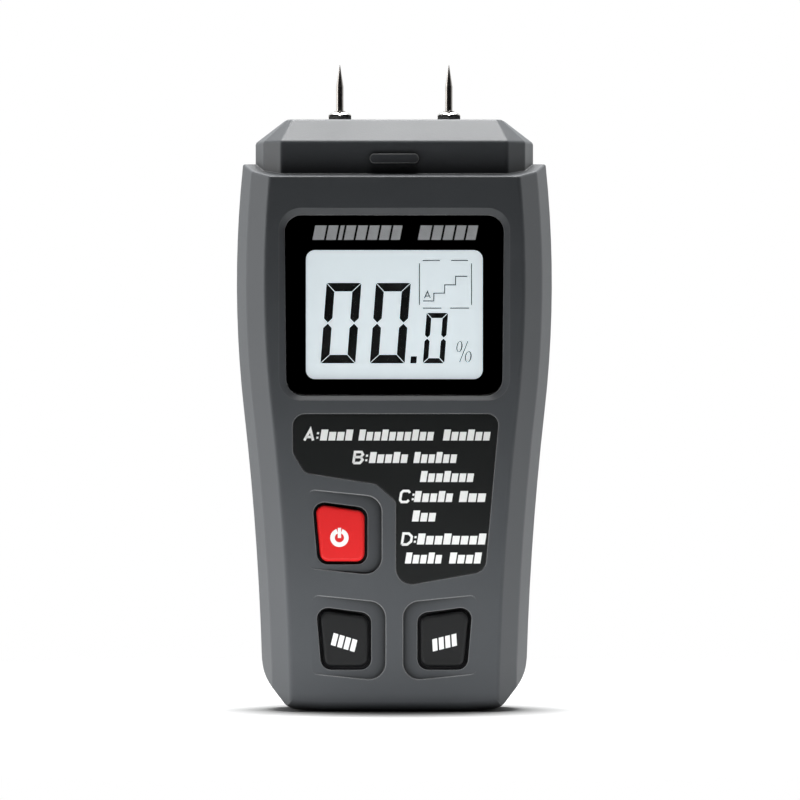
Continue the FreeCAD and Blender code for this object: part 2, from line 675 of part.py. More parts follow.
def scoop(key):
    """The space of the thumb scoop: it runs out at the key's outer side and is deep at its inner side."""
    name, side, across, up = key
    corners = [
        ("scoop_outer", "-scoop_low + scoop_slant", "1.2"),
        ("-scoop_inner", "-scoop_low", "scoop_round"),
        ("-scoop_inner", "scoop_high - scoop_slant", "scoop_round"),
        ("scoop_outer", "scoop_high", "1.2"),
    ]
    flat = [(f"{across} + {side} * ({out})", f"{up} + ({high})", radius) for out, high, radius in corners]
    column = prism(name + "_scoop_column", "front", f"{FRONT} - 1", FRONT_INSIDE, flat)
    wedge = prism(name + "_scoop_wedge", "level", f"{up} - scoop_low - 2", f"{up} + scoop_high + 2", [
        (f"{across} + {side} * scoop_outer", FRONT),
        (f"{across} + {side} * scoop_outer", f"{FRONT} - 2"),
        (f"{across} - {side} * (scoop_inner + 1)", f"{FRONT} - 2"),
        (f"{across} - {side} * (scoop_inner + 1)", f"{FRONT} + scoop_depth"),
    ])
    return common(name + "_scoop", column, wedge)


SCREWS = [
    ("low_left", "-battery_width / 2 - screw_side_low", "screw_low"),
    ("low_right", "battery_width / 2 + screw_side_low", "screw_low"),
    ("high_left", "-screw_side_high", "case_height - screw_high_drop"),
    ("high_right", "screw_side_high", "case_height - screw_high_drop"),
]
SCREW_HEAD_FACE = "case_depth / 2 - screw_sink"
SCREW_SEAT = f"{SCREW_HEAD_FACE} - screw_head_high"
SCREW_TIP = f"{SCREW_SEAT} - screw_length"
SIDES = (("left", -1), ("right", 1))


def column(name, across, up, radius, start, finish):
    """A round column from one depth to another."""
    return rod(name, "y", (across, start, up), radius, f"({finish}) - ({start})")


def whole_case():
    """Both shells in one, hollow."""
    outside = fuse("outside", case_form("case", "0"), head_form("head", "0"))
    inside = fuse("inside", case_form("room", "wall"), head_form("head_room", "wall"))
    return cut("case_walls", outside, inside)


def front_shell(walls):
    """Front half of the case with the lens seat, the label recess, the key holes and the posts."""
    space = block("front_space", ("-" + WIDE, WIDE), (FRONT + " - 1", "0"), (BOTTOMLESS, TOPLESS))
    half = common("front_half", walls, space)
    catch_level = "case_height + catch_drop"
    head_face = "-case_depth / 2 + head_setback"
    catch = prism("cap_catch", "front", f"{head_face} - catch_stand", f"{head_face} + 0.5", oblong(
        "-catch_length / 2", "catch_length / 2", f"{catch_level} - catch_height / 2",
        f"{catch_level} + catch_height / 2", "catch_height * 0.45"))
    shelf = prism("lens_shelf", "front", LENS_FACE, SHELF_BACK, lens_corners("1", "lens_radius"))
    root = f"{FRONT_INSIDE} - 0.5"
    posts = []
    for name, across, up in SCREWS:
        posts.append(column(f"post_{name}", across, up, "post_radius", root, "-boss_gap"))
    for name, side in SIDES:
        across = f"{side} * board_screw_across"
        posts.append(column(f"board_post_{name}", across, "board_screw_up", "board_post", root, BOARD_FACE))
    for name, across, up in (("upper", "label_leg + 10", "power_up"), ("lower", "0", "pair_up")):
        posts.append(column(f"board_rest_{name}", across, up, "rest_radius", root, BOARD_FACE))
    solid = fuse("front_solid", half, catch, shelf, *posts)
    bevel = loft(
        "lens_bevel",
        outline("bevel_rim", "front", FRONT, mirrored([
            ("lens_half_width + bevel_width * 0.8", f"{LENS_BOTTOM} - bevel_bottom", "lens_radius + 1"),
            ("lens_half_width + bevel_width * 0.8", f"{LENS_TOP} + bevel_width", "lens_radius + 1"),
        ])),
        outline("bevel_foot", "front", LENS_FACE, lens_corners("lens_gap", "lens_radius")),
    )
    opening = window_corners("ledge_back", "window_radius")
    spaces = [
        bevel,
        prism("lens_pocket", "front", LENS_FACE, SHELF_FACE, lens_corners("lens_gap", "lens_radius")),
        prism("window_opening", "front", LENS_FACE, f"{SHELF_BACK} + 1", opening),
        prism("label_pocket", "front", f"{FRONT} - 1", f"{FRONT} + label_recess", label_corners("label_gap")),
    ]
    for key in KEYS:
        hole = key_corners(key, "key_gap", "hole_corner")
        spaces.append(prism(key[0] + "_hole", "front", f"{FRONT} - 1", f"{FRONT_INSIDE} + 1", hole))
        spaces.append(scoop(key))
    for name, across, up in SCREWS:
        spaces.append(column(f"pilot_{name}", across, up, "screw_shank", SCREW_TIP, "1"))
    for name, side in SIDES:
        across = f"{side} * board_screw_across"
        ends = (f"{BOARD_FACE} - 3.2", f"{BOARD_FACE} + 1")
        spaces.append(column(f"board_pilot_{name}", across, "board_screw_up", "board_screw_shank", *ends))
        spaces.append(socket_space(name, side, "front"))
    return cut("front_shell_body", solid, *spaces)


def socket_space(name, side, half):
    """The seat of a pin socket in the head's top."""
    place = (f"{side} * pin_pitch / 2", "0", f"{HEAD_TOP} - socket_length")
    return rod(f"{half}_socket_seat_{name}", "z", place, "socket_radius", "socket_length + 1")


TRAY_HALF = "battery_width / 2 + battery_play"
DOOR_HALF = "battery_width / 2 + door_side"
DOOR_TOP = "door_lift + door_length"


def rear_shell(walls):
    """Back half of the case with the battery tray, the door's rails and the screw bosses."""
    space = block("rear_space", ("-" + WIDE, WIDE), ("0", BACK + " + 1"), (BOTTOMLESS, TOPLESS))
    half = common("rear_half", walls, space)
    root = f"{BACK_INSIDE} + 0.2"
    tray_half = f"{TRAY_HALF} + tray_wall"
    tray_span = ("battery_rise - battery_play - tray_wall", "tray_top + tray_wall")
    additions = [block("tray_outside", (f"-({tray_half})", tray_half), (TRAY_FACE, root), tray_span)]
    for name, side in SIDES:
        ends = sorted((f"{side} * ({TRAY_HALF} + rail_reach)", f"{side} * ({TRAY_HALF})"), key=value)
        rail_span = ("wall / 2", f"{DOOR_TOP} + 1.5")
        additions.append(block(f"rail_{name}", ends, (f"{BACK_INSIDE} - rail_thick", root), rail_span))
    for name, across, up in SCREWS:
        additions.append(column(f"boss_{name}", across, up, "boss_radius", "0", f"{BACK_INSIDE} + 0.5"))
    solid = fuse("rear_solid", half, *additions)
    door_half = f"{DOOR_HALF} + door_gap"
    groove_half = f"{door_half} + tongue_reach"
    groove_depth = (BACK_INSIDE, f"{DOOR_INSIDE} + tongue_thick + door_gap")
    way_span = (BOTTOMLESS, f"{DOOR_TOP} + door_gap")
    room_span = ("battery_rise - battery_play", "tray_top")
    spaces = [
        block("tray_inside", (f"-({TRAY_HALF})", TRAY_HALF), (TRAY_INSIDE, BACK_INSIDE), room_span),
        block("door_opening", (f"-({door_half})", door_half), (BACK_INSIDE, BACK + " + 1"), way_span),
        block("tongue_grooves", (f"-({groove_half})", groove_half), groove_depth, way_span),
        prism("rear_label_pocket", "front", f"{BACK} - rear_label_recess", BACK + " + 1", rear_label("0.15")),
        seam_line(),
    ]
    for name, across, up in SCREWS:
        spaces.append(column(f"screw_well_{name}", across, up, "screw_head + 0.3", SCREW_SEAT, BACK + " + 1"))
        spaces.append(column(f"screw_way_{name}", across, up, "screw_shank + 0.15", "-1", f"{SCREW_SEAT} + 1"))
    for name, side in SIDES:
        spaces.append(socket_space(name, side, "rear"))
        ends = (f"{TRAY_FACE} - 1", f"{TRAY_INSIDE} + 1")
        spaces.append(column(f"lead_way_{name}", f"{side} * lead_across", "lead_up", "lead_hole", *ends))
    return cut("rear_shell_body", solid, *spaces)


def seam_line():
    """A narrow step round the rear shell's edge, which makes a shadow line at the seam."""
    ring = block("seam_band", ("-" + WIDE, WIDE), ("-1", "seam_groove"), (BOTTOMLESS, TOPLESS))
    body = common(
        "seam_body",
        extrude("seam_side_core", side_section("seam_side", "-2", "seam_groove"), "4"),
        prism("seam_foot_core", "front", "-2", "2", mirrored([
            ("foot_flat", "seam_groove"),
            ("case_half_width - foot_in - seam_groove", "foot_rise + seam_groove", "foot_inner_round"),
            ("case_half_width - corner_in - seam_groove", "corner_rise + seam_groove", "foot_outer_round"),
            ("case_half_width + flank_out - seam_groove", "flank_up"),
            ("case_half_width * 2", "case_height - seam_groove"),
        ])),
    )
    head = prism("seam_head_core", "front", "-2", "2", mirrored([
        ("head_half_width - seam_groove", "case_height - 10"),
        ("head_half_width - seam_groove", HEAD_WALL_TOP),
        ("head_half_width - slope_side - seam_groove", f"{HEAD_TOP} - seam_groove"),
    ]))
    return cut("seam_step", ring, fuse("seam_core", body, head))


def rear_label(grow):
    """Outline of the blank label on the back."""
    half = f"rear_label_half + ({grow})"
    top = f"case_height - rear_label_drop + ({grow})"
    return oblong(f"-({half})", half, f"{DOOR_TOP} + rear_label_up - ({grow})", top, "1.5")


def at_door_foot(edge):
    """Whether an edge is the door's bottom back edge."""
    box = edge.BoundBox
    at_bottom = box.ZMax < value("door_lift") + NEAR
    return box.XLength > value(DOOR_HALF) and at_bottom and box.YMin > value(BACK) - NEAR


def battery_door():
    """Back door: a plate with a tongue down each side, a ribbed thumb rest and an arrow."""
    span = ("door_lift", DOOR_TOP)
    plate = block("door_plate", (f"-({DOOR_HALF})", DOOR_HALF), (DOOR_INSIDE, BACK), span)
    plate = rounded("door_rounded", plate, (at_door_foot, "foot_round"))
    tongue_half = f"{DOOR_HALF} + tongue_reach"
    tongues = block("door_tongues", (f"-({tongue_half})", tongue_half),
                    (DOOR_INSIDE, f"{DOOR_INSIDE} + tongue_thick"), ("door_lift + foot_round", DOOR_TOP))
    grip_low = f"{DOOR_TOP} - 6 - grip_height"
    rest = prism("thumb_rest", "front", f"{BACK} - grip_depth", BACK + " + 1", oblong(
        "-grip_half_width", "grip_half_width", grip_low, f"{grip_low} + grip_height", "3"))
    arrow = prism("door_arrow", "front", f"{BACK} - 0.4", BACK + " + 1", [
        ("-3", f"{grip_low} - 3", "0.4"), ("0", f"{grip_low} - 7", "0.4"), ("3", f"{grip_low} - 3", "0.4")])
    bare = cut("door_bare", fuse("door_solid", plate, tongues), rest, arrow)
    ribs = []
    for number in range(5):
        level = f"{grip_low} + grip_height * {number + 1} / 6"
        rib_span = (f"{level} - grip_rib / 2", f"{level} + grip_rib / 2")
        rib_depth = (f"{BACK} - grip_depth - 0.2", BACK)
        rib_width = ("-grip_half_width + 2", "grip_half_width - 2")
        ribs.append(block(f"grip_rib_{number}", rib_width, rib_depth, rib_span))
    return fuse("battery_door_body", bare, *ribs)


def labels():
    """The stepped label on the front and the blank one on the back."""
    seat = f"{FRONT} + label_recess"
    node(prism("label_film", "front", f"{seat} - label_thick", seat, label_corners("0")), "label_plate")
    bed = f"{BACK} - rear_label_recess"
    node(prism("rear_label_film", "front", bed, f"{BACK} - 0.1", rear_label("0")), "back_label")


def display():
    """Lens, printed border, display glass and what holds it."""
    lens = prism("lens_plate", "front", LENS_FACE, LENS_BACK, lens_corners("0", "lens_radius - lens_gap"))
    lens = rounded("lens_rounded", lens, (lambda edge: edge.BoundBox.YMax < value(LENS_FACE) + NEAR, "0.2"))
    node(lens, "display_lens")
    film = prism("mask_film", "front", LENS_BACK, SHELF_FACE, lens_corners("-0.05", "lens_radius - lens_gap"))
    window = window_corners("0", "window_radius")
    hole = prism("mask_window", "front", f"{LENS_BACK} - 1", f"{SHELF_FACE} + 1", window)
    node(cut("mask_body", film, hole), "window_mask")
    half = f"{WINDOW_HALF} + lcd_side"
    low = f"{WINDOW_BOTTOM} - lcd_end"
    high = f"{WINDOW_TOP} + lcd_end"
    node(block("lcd_glass", (f"-({half})", half), (LCD_FACE, LCD_BACK), (low, high)), "lcd_panel")
    outer_half = f"{half} + frame_wall"
    outer = prism("frame_outside", "front", f"{LCD_FACE} + 0.3", BOARD_FACE, oblong(
        f"-({outer_half})", outer_half, f"{low} - frame_wall", f"{high} + frame_wall", "0.8"))
    inner = block("frame_inside", (f"-({half})", half), (f"{LCD_FACE} - 1", f"{BOARD_FACE} + 1"), (low, high))
    node(cut("frame_body", outer, inner), "lcd_frame")
    width = (f"-({WINDOW_HALF})", WINDOW_HALF)
    strips = []
    for name, bottom in (("low", f"{low} + 0.3"), ("high", f"{high} - 0.3 - strip_height")):
        strip_span = (bottom, f"{bottom} + strip_height")
        strips.append(block(f"strip_{name}", width, (LCD_BACK, BOARD_FACE), strip_span))
    node(group("strips", *strips), "contact_strips")
    between = (f"{low} + strip_height + 0.8", f"{high} - strip_height - 0.8")
    node(block("light_plate", width, (f"{BOARD_FACE} - light_thick", BOARD_FACE), between), "light_guide")


def keys():
    """Each key: a coloured cap on a black carrier, whose stem presses the switch plunger."""
    housings = []
    for key in KEYS:
        name, _, across, up = key
        face_level = f"{FRONT} + key_sink"
        shape = key_corners(key, "0", "key_corner")
        cap = prism(name + "_cap", "front", face_level, FLANGE_FACE, shape)
        below = (across, f"{face_level} + dish_sag - dish_radius", f"{up} - 10")
        cap = cut(name + "_dished", cap, rod(name + "_dish", "z", below, "dish_radius", "20"))
        face = value(f"{face_level} + dish_sag") + 0.05
        cap = rounded(name + "_rounded", cap, (lambda edge: edge.BoundBox.YMax < face, "key_round"))
        node(cap, name + "_key")
        grow = "key_gap + flange_reach"
        flange = key_corners(key, grow, "hole_corner")
        plate = prism(name + "_plate", "front", FLANGE_FACE, FLANGE_BACK, flange)
        stem = column(name + "_stem", across, up, "stem_radius", f"{FLANGE_BACK} - 0.2", PLUNGER_FACE)
        node(fuse(name + "_carrier_body", plate, stem), name + "_key_carrier")
        inset = f"{SWITCH_FACE} + plunger_depth - key_travel - 0.3"
        plunger = column(name + "_plunger", across, up, "plunger_radius", PLUNGER_FACE, inset)
        node(plunger, name + "_switch_plunger")
        width = (f"{across} - switch_side / 2", f"{across} + switch_side / 2")
        span = (f"{up} - switch_side / 2", f"{up} + switch_side / 2")
        case = block(name + "_switch", width, (SWITCH_FACE, BOARD_FACE), span)
        ends = (f"{SWITCH_FACE} - 1", f"{SWITCH_FACE} + plunger_depth")
        bore = column(name + "_bore", across, up, "plunger_radius + plunger_gap", *ends)
        housings.append(cut(name + "_housing", case, bore))
    node(group("housings", *housings), "switch_housings")


def circuit_board(top):
    """The board, narrow between the low screws and wide behind the display."""
    board = prism("board_plate", "front", BOARD_FACE, BOARD_BACK, mirrored([
        ("board_half_lower", "board_foot", "board_corner"),
        ("board_half_lower", "board_step", "board_corner"),
        ("board_half_upper", "board_step + board_widening", "board_corner"),
        ("board_half_upper", top, "board_corner"),
    ]))
    holes = []
    for name, side in SIDES:
        across = f"{side} * board_screw_across"
        ends = (f"{BOARD_FACE} - 1", f"{BOARD_BACK} + 1")
        holes.append(column(f"board_hole_{name}", across, "board_screw_up", "board_screw_shank + 0.1", *ends))
    node(cut("board_body", board, *holes), "circuit_board")


def controller_chip(middle):
    """The chip's case and its two pairs of rows of legs, on the back of the board."""
    low, high = f"{BOARD_BACK} + chip_lift", f"{BOARD_BACK} + chip_lift + chip_high"
    span = (f"{middle} - chip_half", f"{middle} + chip_half")
    case = block("chip_case", ("-chip_half", "chip_half"), (low, high), span)
    feet = (BOARD_BACK, f"{BOARD_BACK} + chip_leg_thick")
    reach = "chip_half + chip_leg"
    row = (f"{middle} - chip_legs_half", f"{middle} + chip_legs_half")
    legs = block("chip_legs", (f"-({reach})", reach), feet, row)
    ends = (f"{middle} - ({reach})", f"{middle} + ({reach})")
    more = block("chip_more_legs", ("-chip_legs_half", "chip_legs_half"), feet, ends)
    node(fuse("chip_body", case, legs, more), "controller_chip")


def electronics():
    """Circuit board, what is soldered on its back behind the display, and its two screws."""
    top = "case_height - board_drop"
    middle = f"{top} - chip_drop"
    circuit_board(top)
    controller_chip(middle)
    place = ("crystal_across", f"{BOARD_BACK} + crystal_radius", f"{middle} - crystal_length / 2")
    node(rod("crystal_can", "z", place, "crystal_radius", "crystal_length"), "crystal")
    cans = []
    for number in range(2):
        place = (f"{number} * capacitor_pitch - capacitor_across", BOARD_BACK, middle)
        cans.append(rod(f"capacitor_{number}", "y", place, "capacitor_radius", "capacitor_length"))
    node(group("capacitor_pair", *cans), "capacitors")
    chips = []
    row = f"{middle} - resistor_drop"
    for number in range(7):
        left = f"{number} * resistor_pitch - resistor_across"
        chips.append(block(f"resistor_{number}", (left, f"{left} + resistor_long"),
                           (BOARD_BACK, f"{BOARD_BACK} + resistor_high"), (row, f"{row} + resistor_wide")))
    node(group("resistor_row", *chips), "resistors")
    screws = []
    for name, side in SIDES:
        place = (f"{side} * board_screw_across", "board_screw_up")
        head_top = f"{BOARD_BACK} + 1.1"
        head = column(f"board_screw_head_{name}", *place, "board_screw_head", BOARD_BACK, head_top)
        ends = (f"{BOARD_FACE} - 3", f"{BOARD_BACK} + 0.5")
        shank = column(f"board_screw_shank_{name}", *place, "board_screw_shank", *ends)
        screws.append(fuse(f"board_screw_{name}", head, shank))
    node(group("board_screw_pair", *screws), "board_screws")


SOCKET_END = f"{HEAD_TOP} - socket_length"
LUG_UNDER = f"{SOCKET_END} - lug_thick"


def needle(name, across):
    """An electrode pin: a thicker root in the socket, a bare shank and a long point."""
    foot = (across, "0", f"{HEAD_TOP} - pin_seat")
    root = rod(f"pin_root_{name}", "z", foot, "pin_root", "pin_seat + nut_height + pin_collar")
    shank = rod(f"pin_shank_{name}", "z", foot, "pin_radius", "pin_seat + pin_reach - pin_point")
    point = DOC.addObject("Part::Cone", f"pin_point_{name}")
    bind(point, Radius1="pin_radius", Radius2="pin_radius * 0.08", Height="pin_point")
    bind(point, **{".Placement.Base.x": across, ".Placement.Base.z": f"{HEAD_TOP} + pin_reach - pin_point"})
    node(fuse(f"pin_{name}", root, shank, point), f"electrode_pin_{name}")


def pin_nut(name, across):
    """A low hexagon nut with rounded top corners, round the pin's root."""
    hexagon = DOC.addObject("Part::Prism", f"nut_hexagon_{name}")
    hexagon.Placement = Placement(Vector(), Rotation(Vector(0, 0, 1), 30))
    bind(hexagon, Circumradius="nut_across / sqrt(3)", Height="nut_height")
    bind(hexagon, **{".Placement.Base.x": across, ".Placement.Base.z": HEAD_TOP})
    dome = DOC.addObject("Part::Sphere", f"nut_dome_{name}")
    bind(dome, Radius="nut_dome")
    centre = f"{HEAD_TOP} + nut_height + 0.4 - nut_dome"
    bind(dome, **{".Placement.Base.x": across, ".Placement.Base.z": centre})
    hole = rod(f"nut_hole_{name}", "z", (across, "0", f"{HEAD_TOP} - 1"), "pin_root", "nut_height + 2")
    return cut(f"nut_{name}", common(f"nut_form_{name}", hexagon, dome), hole)


def electrodes():
    """Needles, their sockets, nuts and lugs; each socket is clamped between the two shells."""
    sockets, nuts, lugs = [], [], []
    for name, side in SIDES:
        across = f"{side} * pin_pitch / 2"
        needle(name, across)
        nuts.append(pin_nut(name, across))
        barrel = rod(f"socket_barrel_{name}", "z", (across, "0", SOCKET_END), "socket_radius", "socket_length")
        foot = (across, "0", f"{HEAD_TOP} - pin_seat")
        bore = rod(f"socket_bore_{name}", "z", foot, "pin_root", "pin_seat + 1")
        sockets.append(cut(f"socket_{name}", barrel, bore))
        ring = rod(f"lug_ring_{name}", "z", (across, "0", LUG_UNDER), "socket_radius + 0.4", "lug_thick")
        width = (f"{across} - lug_half_width", f"{across} + lug_half_width")
        tab = block(f"lug_tab_{name}", width, ("-lug_reach", "0"), (LUG_UNDER, SOCKET_END))
        lugs.append(fuse(f"lug_{name}", ring, tab))
    node(group("socket_pair", *sockets), "pin_sockets")
    node(group("nut_pair", *nuts), "pin_nuts")
    node(group("lug_pair", *lugs), "solder_lugs")


def lead(label, points, bend):
    """An insulated lead: straight runs joined by tangent arcs, through points (x, y, z)."""
    places = [Vector(*(value(part) for part in point)) for point in points]
    edges = []
    start = places[0]
    for before, corner, after in zip(places, places[1:], places[2:]):
        back = (before - corner).normalize()
        ahead = (after - corner).normalize()
        half = back.getAngle(ahead) / 2
        reach = bend / math.tan(half)
        middle = corner + (back + ahead).normalize() * (bend / math.sin(half) - bend)
        edges.append(Part.makeLine(start, corner + back * reach))
        edges.append(Part.Arc(corner + back * reach, middle, corner + ahead * reach).toShape())
        start = corner + ahead * reach
    edges.append(Part.makeLine(start, places[-1]))
    path = Part.Wire(edges)
    ring = Part.Wire(Part.makeCircle(value("lead_radius"), places[0], places[1] - places[0]))
    tube = DOC.addObject("Part::Feature", label + "_tube")
    tube.Shape = path.makePipeShell([ring], True, False)
    expected = math.pi * value("lead_radius") ** 2 * path.Length
    print(f"{label}: {path.Length:.1f} mm long, volume {tube.Shape.Volume / expected:.3f} of section x length")
    node(tube, label)


def power_supply():
    """Battery, its snap and leads, and the foam pad behind it."""
    half = "battery_width / 2"
    can_depth = (BATTERY_FACE, BATTERY_BACK)
    can = block("battery_block", (f"-({half})", half), can_depth, ("battery_rise", BATTERY_TOP))
    can = rounded("battery_can", can, (lambda edge: edge.BoundBox.ZLength > 20, "1.6"))
    node(can, "battery")
    depth = f"{BATTERY_BACK} - battery_thick / 2"
    studs, wells = [], []
    for name, side, radius in (("plus", -1, "2.9"), ("minus", 1, "3.7")):
        place = (f"{side} * terminal_across", depth, BATTERY_TOP)
        studs.append(rod(f"stud_{name}", "z", place, radius, "terminal_high"))
        wells.append(rod(f"well_{name}", "z", place, radius, "terminal_high"))
    node(group("studs", *studs), "battery_terminals")
    snap = block("snap_block", (f"-({half}) + 1", f"{half} - 1"), (f"{depth} - 6", f"{depth} + 6"),
                 (f"{BATTERY_TOP} + 0.2", f"{BATTERY_TOP} + snap_height"))
    snap = rounded("snap_rounded", snap, (lambda edge: edge.BoundBox.ZLength > 2, "2"))
    node(cut("snap_body", snap, *wells), "battery_snap")
    for name, side in (("red", -1), ("black", 1)):
        across = f"{side} * lead_across"
        start = (across, depth, f"{BATTERY_TOP} + snap_height")
        lead(f"battery_lead_{name}", [start, (across, depth, "lead_up"), (across, BOARD_BACK, "lead_up")], 2.5)
    for name, side in SIDES:
        across = f"{side} * pin_pitch / 2"
        bend = f"{LUG_UNDER} - pin_lead_drop"
        start = (across, "-pin_lead_front", LUG_UNDER)
        corner = (across, "-pin_lead_front", bend)
        lead(f"pin_lead_{name}", [start, corner, (across, BOARD_BACK, bend)], 1.8)
    pad_depth = (BATTERY_BACK, f"{BATTERY_BACK} + foam_thick")
    pad_span = ("battery_rise + 5", f"{BATTERY_TOP} - 5")
    node(block("foam_block", (f"1 - {half}", f"{half} - 1"), pad_depth, pad_span), "foam_pad")


def case_screws():
    """Four screws, sunk from the back, with cross recesses in their heads."""
    screws = []
    for name, across, up in SCREWS:
        head = column(f"head_{name}", across, up, "screw_head", SCREW_SEAT, SCREW_HEAD_FACE)
        shank = column(f"shank_{name}", across, up, "screw_shank", SCREW_TIP, f"{SCREW_SEAT} + 0.2")
        slots = []
        deep = (f"{SCREW_HEAD_FACE} - slot_deep", f"{SCREW_HEAD_FACE} + 1")
        for way, wide, tall in (("level", "slot_long", "slot_wide"), ("upright", "slot_wide", "slot_long")):
            width = (f"{across} - {wide}", f"{across} + {wide}")
            slots.append(block(f"slot_{way}_{name}", width, deep, (f"{up} - {tall}", f"{up} + {tall}")))
        screws.append(cut(f"case_screw_{name}", fuse(f"screw_{name}", head, shank), *slots))
    node(group("case_screw_set", *screws), "case_screws")


def check_everything():
    """Stop if any object failed or any sub-part has no valid solid."""
    for thing in DOC.Objects:
        if "Invalid" in thing.State or "Error" in thing.State:
            raise RuntimeError(f"{thing.Name} failed: {thing.State}")
    for thing in NODES:
        if thing.Shape.isNull() or not thing.Shape.isValid() or not thing.Shape.Solids:
            raise RuntimeError(f"{thing.Label} has no valid solid")


def export():
    """Write each sub-part to its own file."""
    os.makedirs("parts", exist_ok=True)
    for thing in NODES:
        thing.Shape.exportStep(f"parts/{thing.Label}.step")


fill_sheet()
walls = whole_case()
node(front_shell(walls), "front_shell")
node(rear_shell(walls), "rear_shell")
node(battery_door(), "battery_door")
display()
labels()
keys()
electronics()
electrodes()
power_supply()
case_screws()
DOC.recompute()
check_everything()
export()
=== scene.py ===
import json
import math

import bmesh
import bpy
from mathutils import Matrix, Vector
from mathutils.bvhtree import BVHTree


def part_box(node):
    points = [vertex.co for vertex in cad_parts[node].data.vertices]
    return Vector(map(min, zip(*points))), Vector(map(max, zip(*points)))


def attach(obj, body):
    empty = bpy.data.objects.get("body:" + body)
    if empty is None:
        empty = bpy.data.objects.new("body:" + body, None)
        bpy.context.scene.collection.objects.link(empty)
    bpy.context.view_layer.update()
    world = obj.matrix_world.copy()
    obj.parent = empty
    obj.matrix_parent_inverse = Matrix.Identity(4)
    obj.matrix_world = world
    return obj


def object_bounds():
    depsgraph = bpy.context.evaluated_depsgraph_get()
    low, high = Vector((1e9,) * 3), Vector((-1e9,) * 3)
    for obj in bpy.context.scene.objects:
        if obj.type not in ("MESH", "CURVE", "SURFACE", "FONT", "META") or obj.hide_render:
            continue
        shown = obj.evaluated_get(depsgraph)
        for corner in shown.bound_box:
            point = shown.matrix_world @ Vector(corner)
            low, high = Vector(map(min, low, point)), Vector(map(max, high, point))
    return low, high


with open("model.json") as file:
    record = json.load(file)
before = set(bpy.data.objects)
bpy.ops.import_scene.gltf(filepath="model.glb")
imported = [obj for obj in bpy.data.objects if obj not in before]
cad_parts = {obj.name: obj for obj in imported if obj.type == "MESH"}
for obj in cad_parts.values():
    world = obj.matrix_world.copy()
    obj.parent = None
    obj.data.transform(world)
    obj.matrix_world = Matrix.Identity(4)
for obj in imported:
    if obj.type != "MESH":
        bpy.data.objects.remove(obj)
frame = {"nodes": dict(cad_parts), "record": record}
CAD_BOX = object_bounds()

bl_info = {
    "name": "Pocket moisture meter",
    "version": (1, 0, 0),
    "blender": (4, 5, 0),
    "location": "View3D > Sidebar > Meter",
    "description": "Finishes, printing, display segments and studio for a two-pin moisture meter",
    "category": "Add Mesh",
}

MM = 0.001
NODES = frame["nodes"]
SLOT_OF = {part["node"]: part["material_slot"] for part in frame["record"]["subparts"]}
PRINT_THICK = 0.03  # ink and segment thickness, in millimetres


def box_mm(name):
    """Lowest and highest corner of a CAD node, in millimetres."""
    low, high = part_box(name)
    return low / MM, high / MM


# ---------------------------------------------------------------- settings


class METER_PG_colours(bpy.types.PropertyGroup):
    """Colours of the moulded parts, the printing and the display."""

    case: bpy.props.FloatVectorProperty(
        name="Case", description="Moulded shells and battery door", subtype="COLOR", size=4,
        min=0, max=1, default=(0.063, 0.068, 0.074, 1))
    red_key: bpy.props.FloatVectorProperty(
        name="Power key", description="Red key cap", subtype="COLOR", size=4,
        min=0, max=1, default=(0.66, 0.012, 0.013, 1))
    black_key: bpy.props.FloatVectorProperty(
        name="Black keys", description="Mode and hold key caps", subtype="COLOR", size=4,
        min=0, max=1, default=(0.006, 0.0065, 0.007, 1))
    label: bpy.props.FloatVectorProperty(
        name="Label", description="Stepped label under the display", subtype="COLOR", size=4,
        min=0, max=1, default=(0.004, 0.005, 0.005, 1))
    ink: bpy.props.FloatVectorProperty(
        name="Ink", description="White printing on keys and label", subtype="COLOR", size=4,
        min=0, max=1, default=(0.86, 0.87, 0.86, 1))
    heading: bpy.props.FloatVectorProperty(
        name="Heading", description="Silver printing over the display", subtype="COLOR", size=4,
        min=0, max=1, default=(0.42, 0.43, 0.44, 1))
    display: bpy.props.FloatVectorProperty(
        name="Display", description="Lit ground of the display", subtype="COLOR", size=4,
        min=0, max=1, default=(0.66, 0.72, 0.75, 1))
    segment: bpy.props.FloatVectorProperty(
        name="Segments", description="Dark display segments", subtype="COLOR", size=4,
        min=0, max=1, default=(0.004, 0.004, 0.005, 1))


class METER_PG_display(bpy.types.PropertyGroup):
    """Sizes of the display's segments and icons."""

    digit_height: bpy.props.FloatProperty(
        name="Digit height", description="Two large digits", unit="LENGTH", default=16.1 * MM)
    digit_width: bpy.props.FloatProperty(
        name="Digit width", description="Two large digits", unit="LENGTH", default=6.98 * MM)
    digit_stroke: bpy.props.FloatProperty(
        name="Digit stroke", description="Bar of a large digit", unit="LENGTH", default=1.7 * MM)
    tenth_height: bpy.props.FloatProperty(
        name="Tenths height", description="Small digit", unit="LENGTH", default=10.1 * MM)
    tenth_width: bpy.props.FloatProperty(
        name="Tenths width", description="Small digit", unit="LENGTH", default=4.3 * MM)
    tenth_stroke: bpy.props.FloatProperty(
        name="Tenths stroke", description="Bar of the small digit", unit="LENGTH",
        default=1.03 * MM)
    segment_gap: bpy.props.FloatProperty(
        name="Segment gap", description="Between neighbouring bars", unit="LENGTH",
        default=0.2 * MM)
    slant: bpy.props.FloatProperty(
        name="Slant", description="Lean of the digits, run over rise",
        default=0.077, min=0, max=0.5)
    icon_line: bpy.props.FloatProperty(
        name="Icon line", description="Thin lines of the range icon", unit="LENGTH",
        default=0.2 * MM)


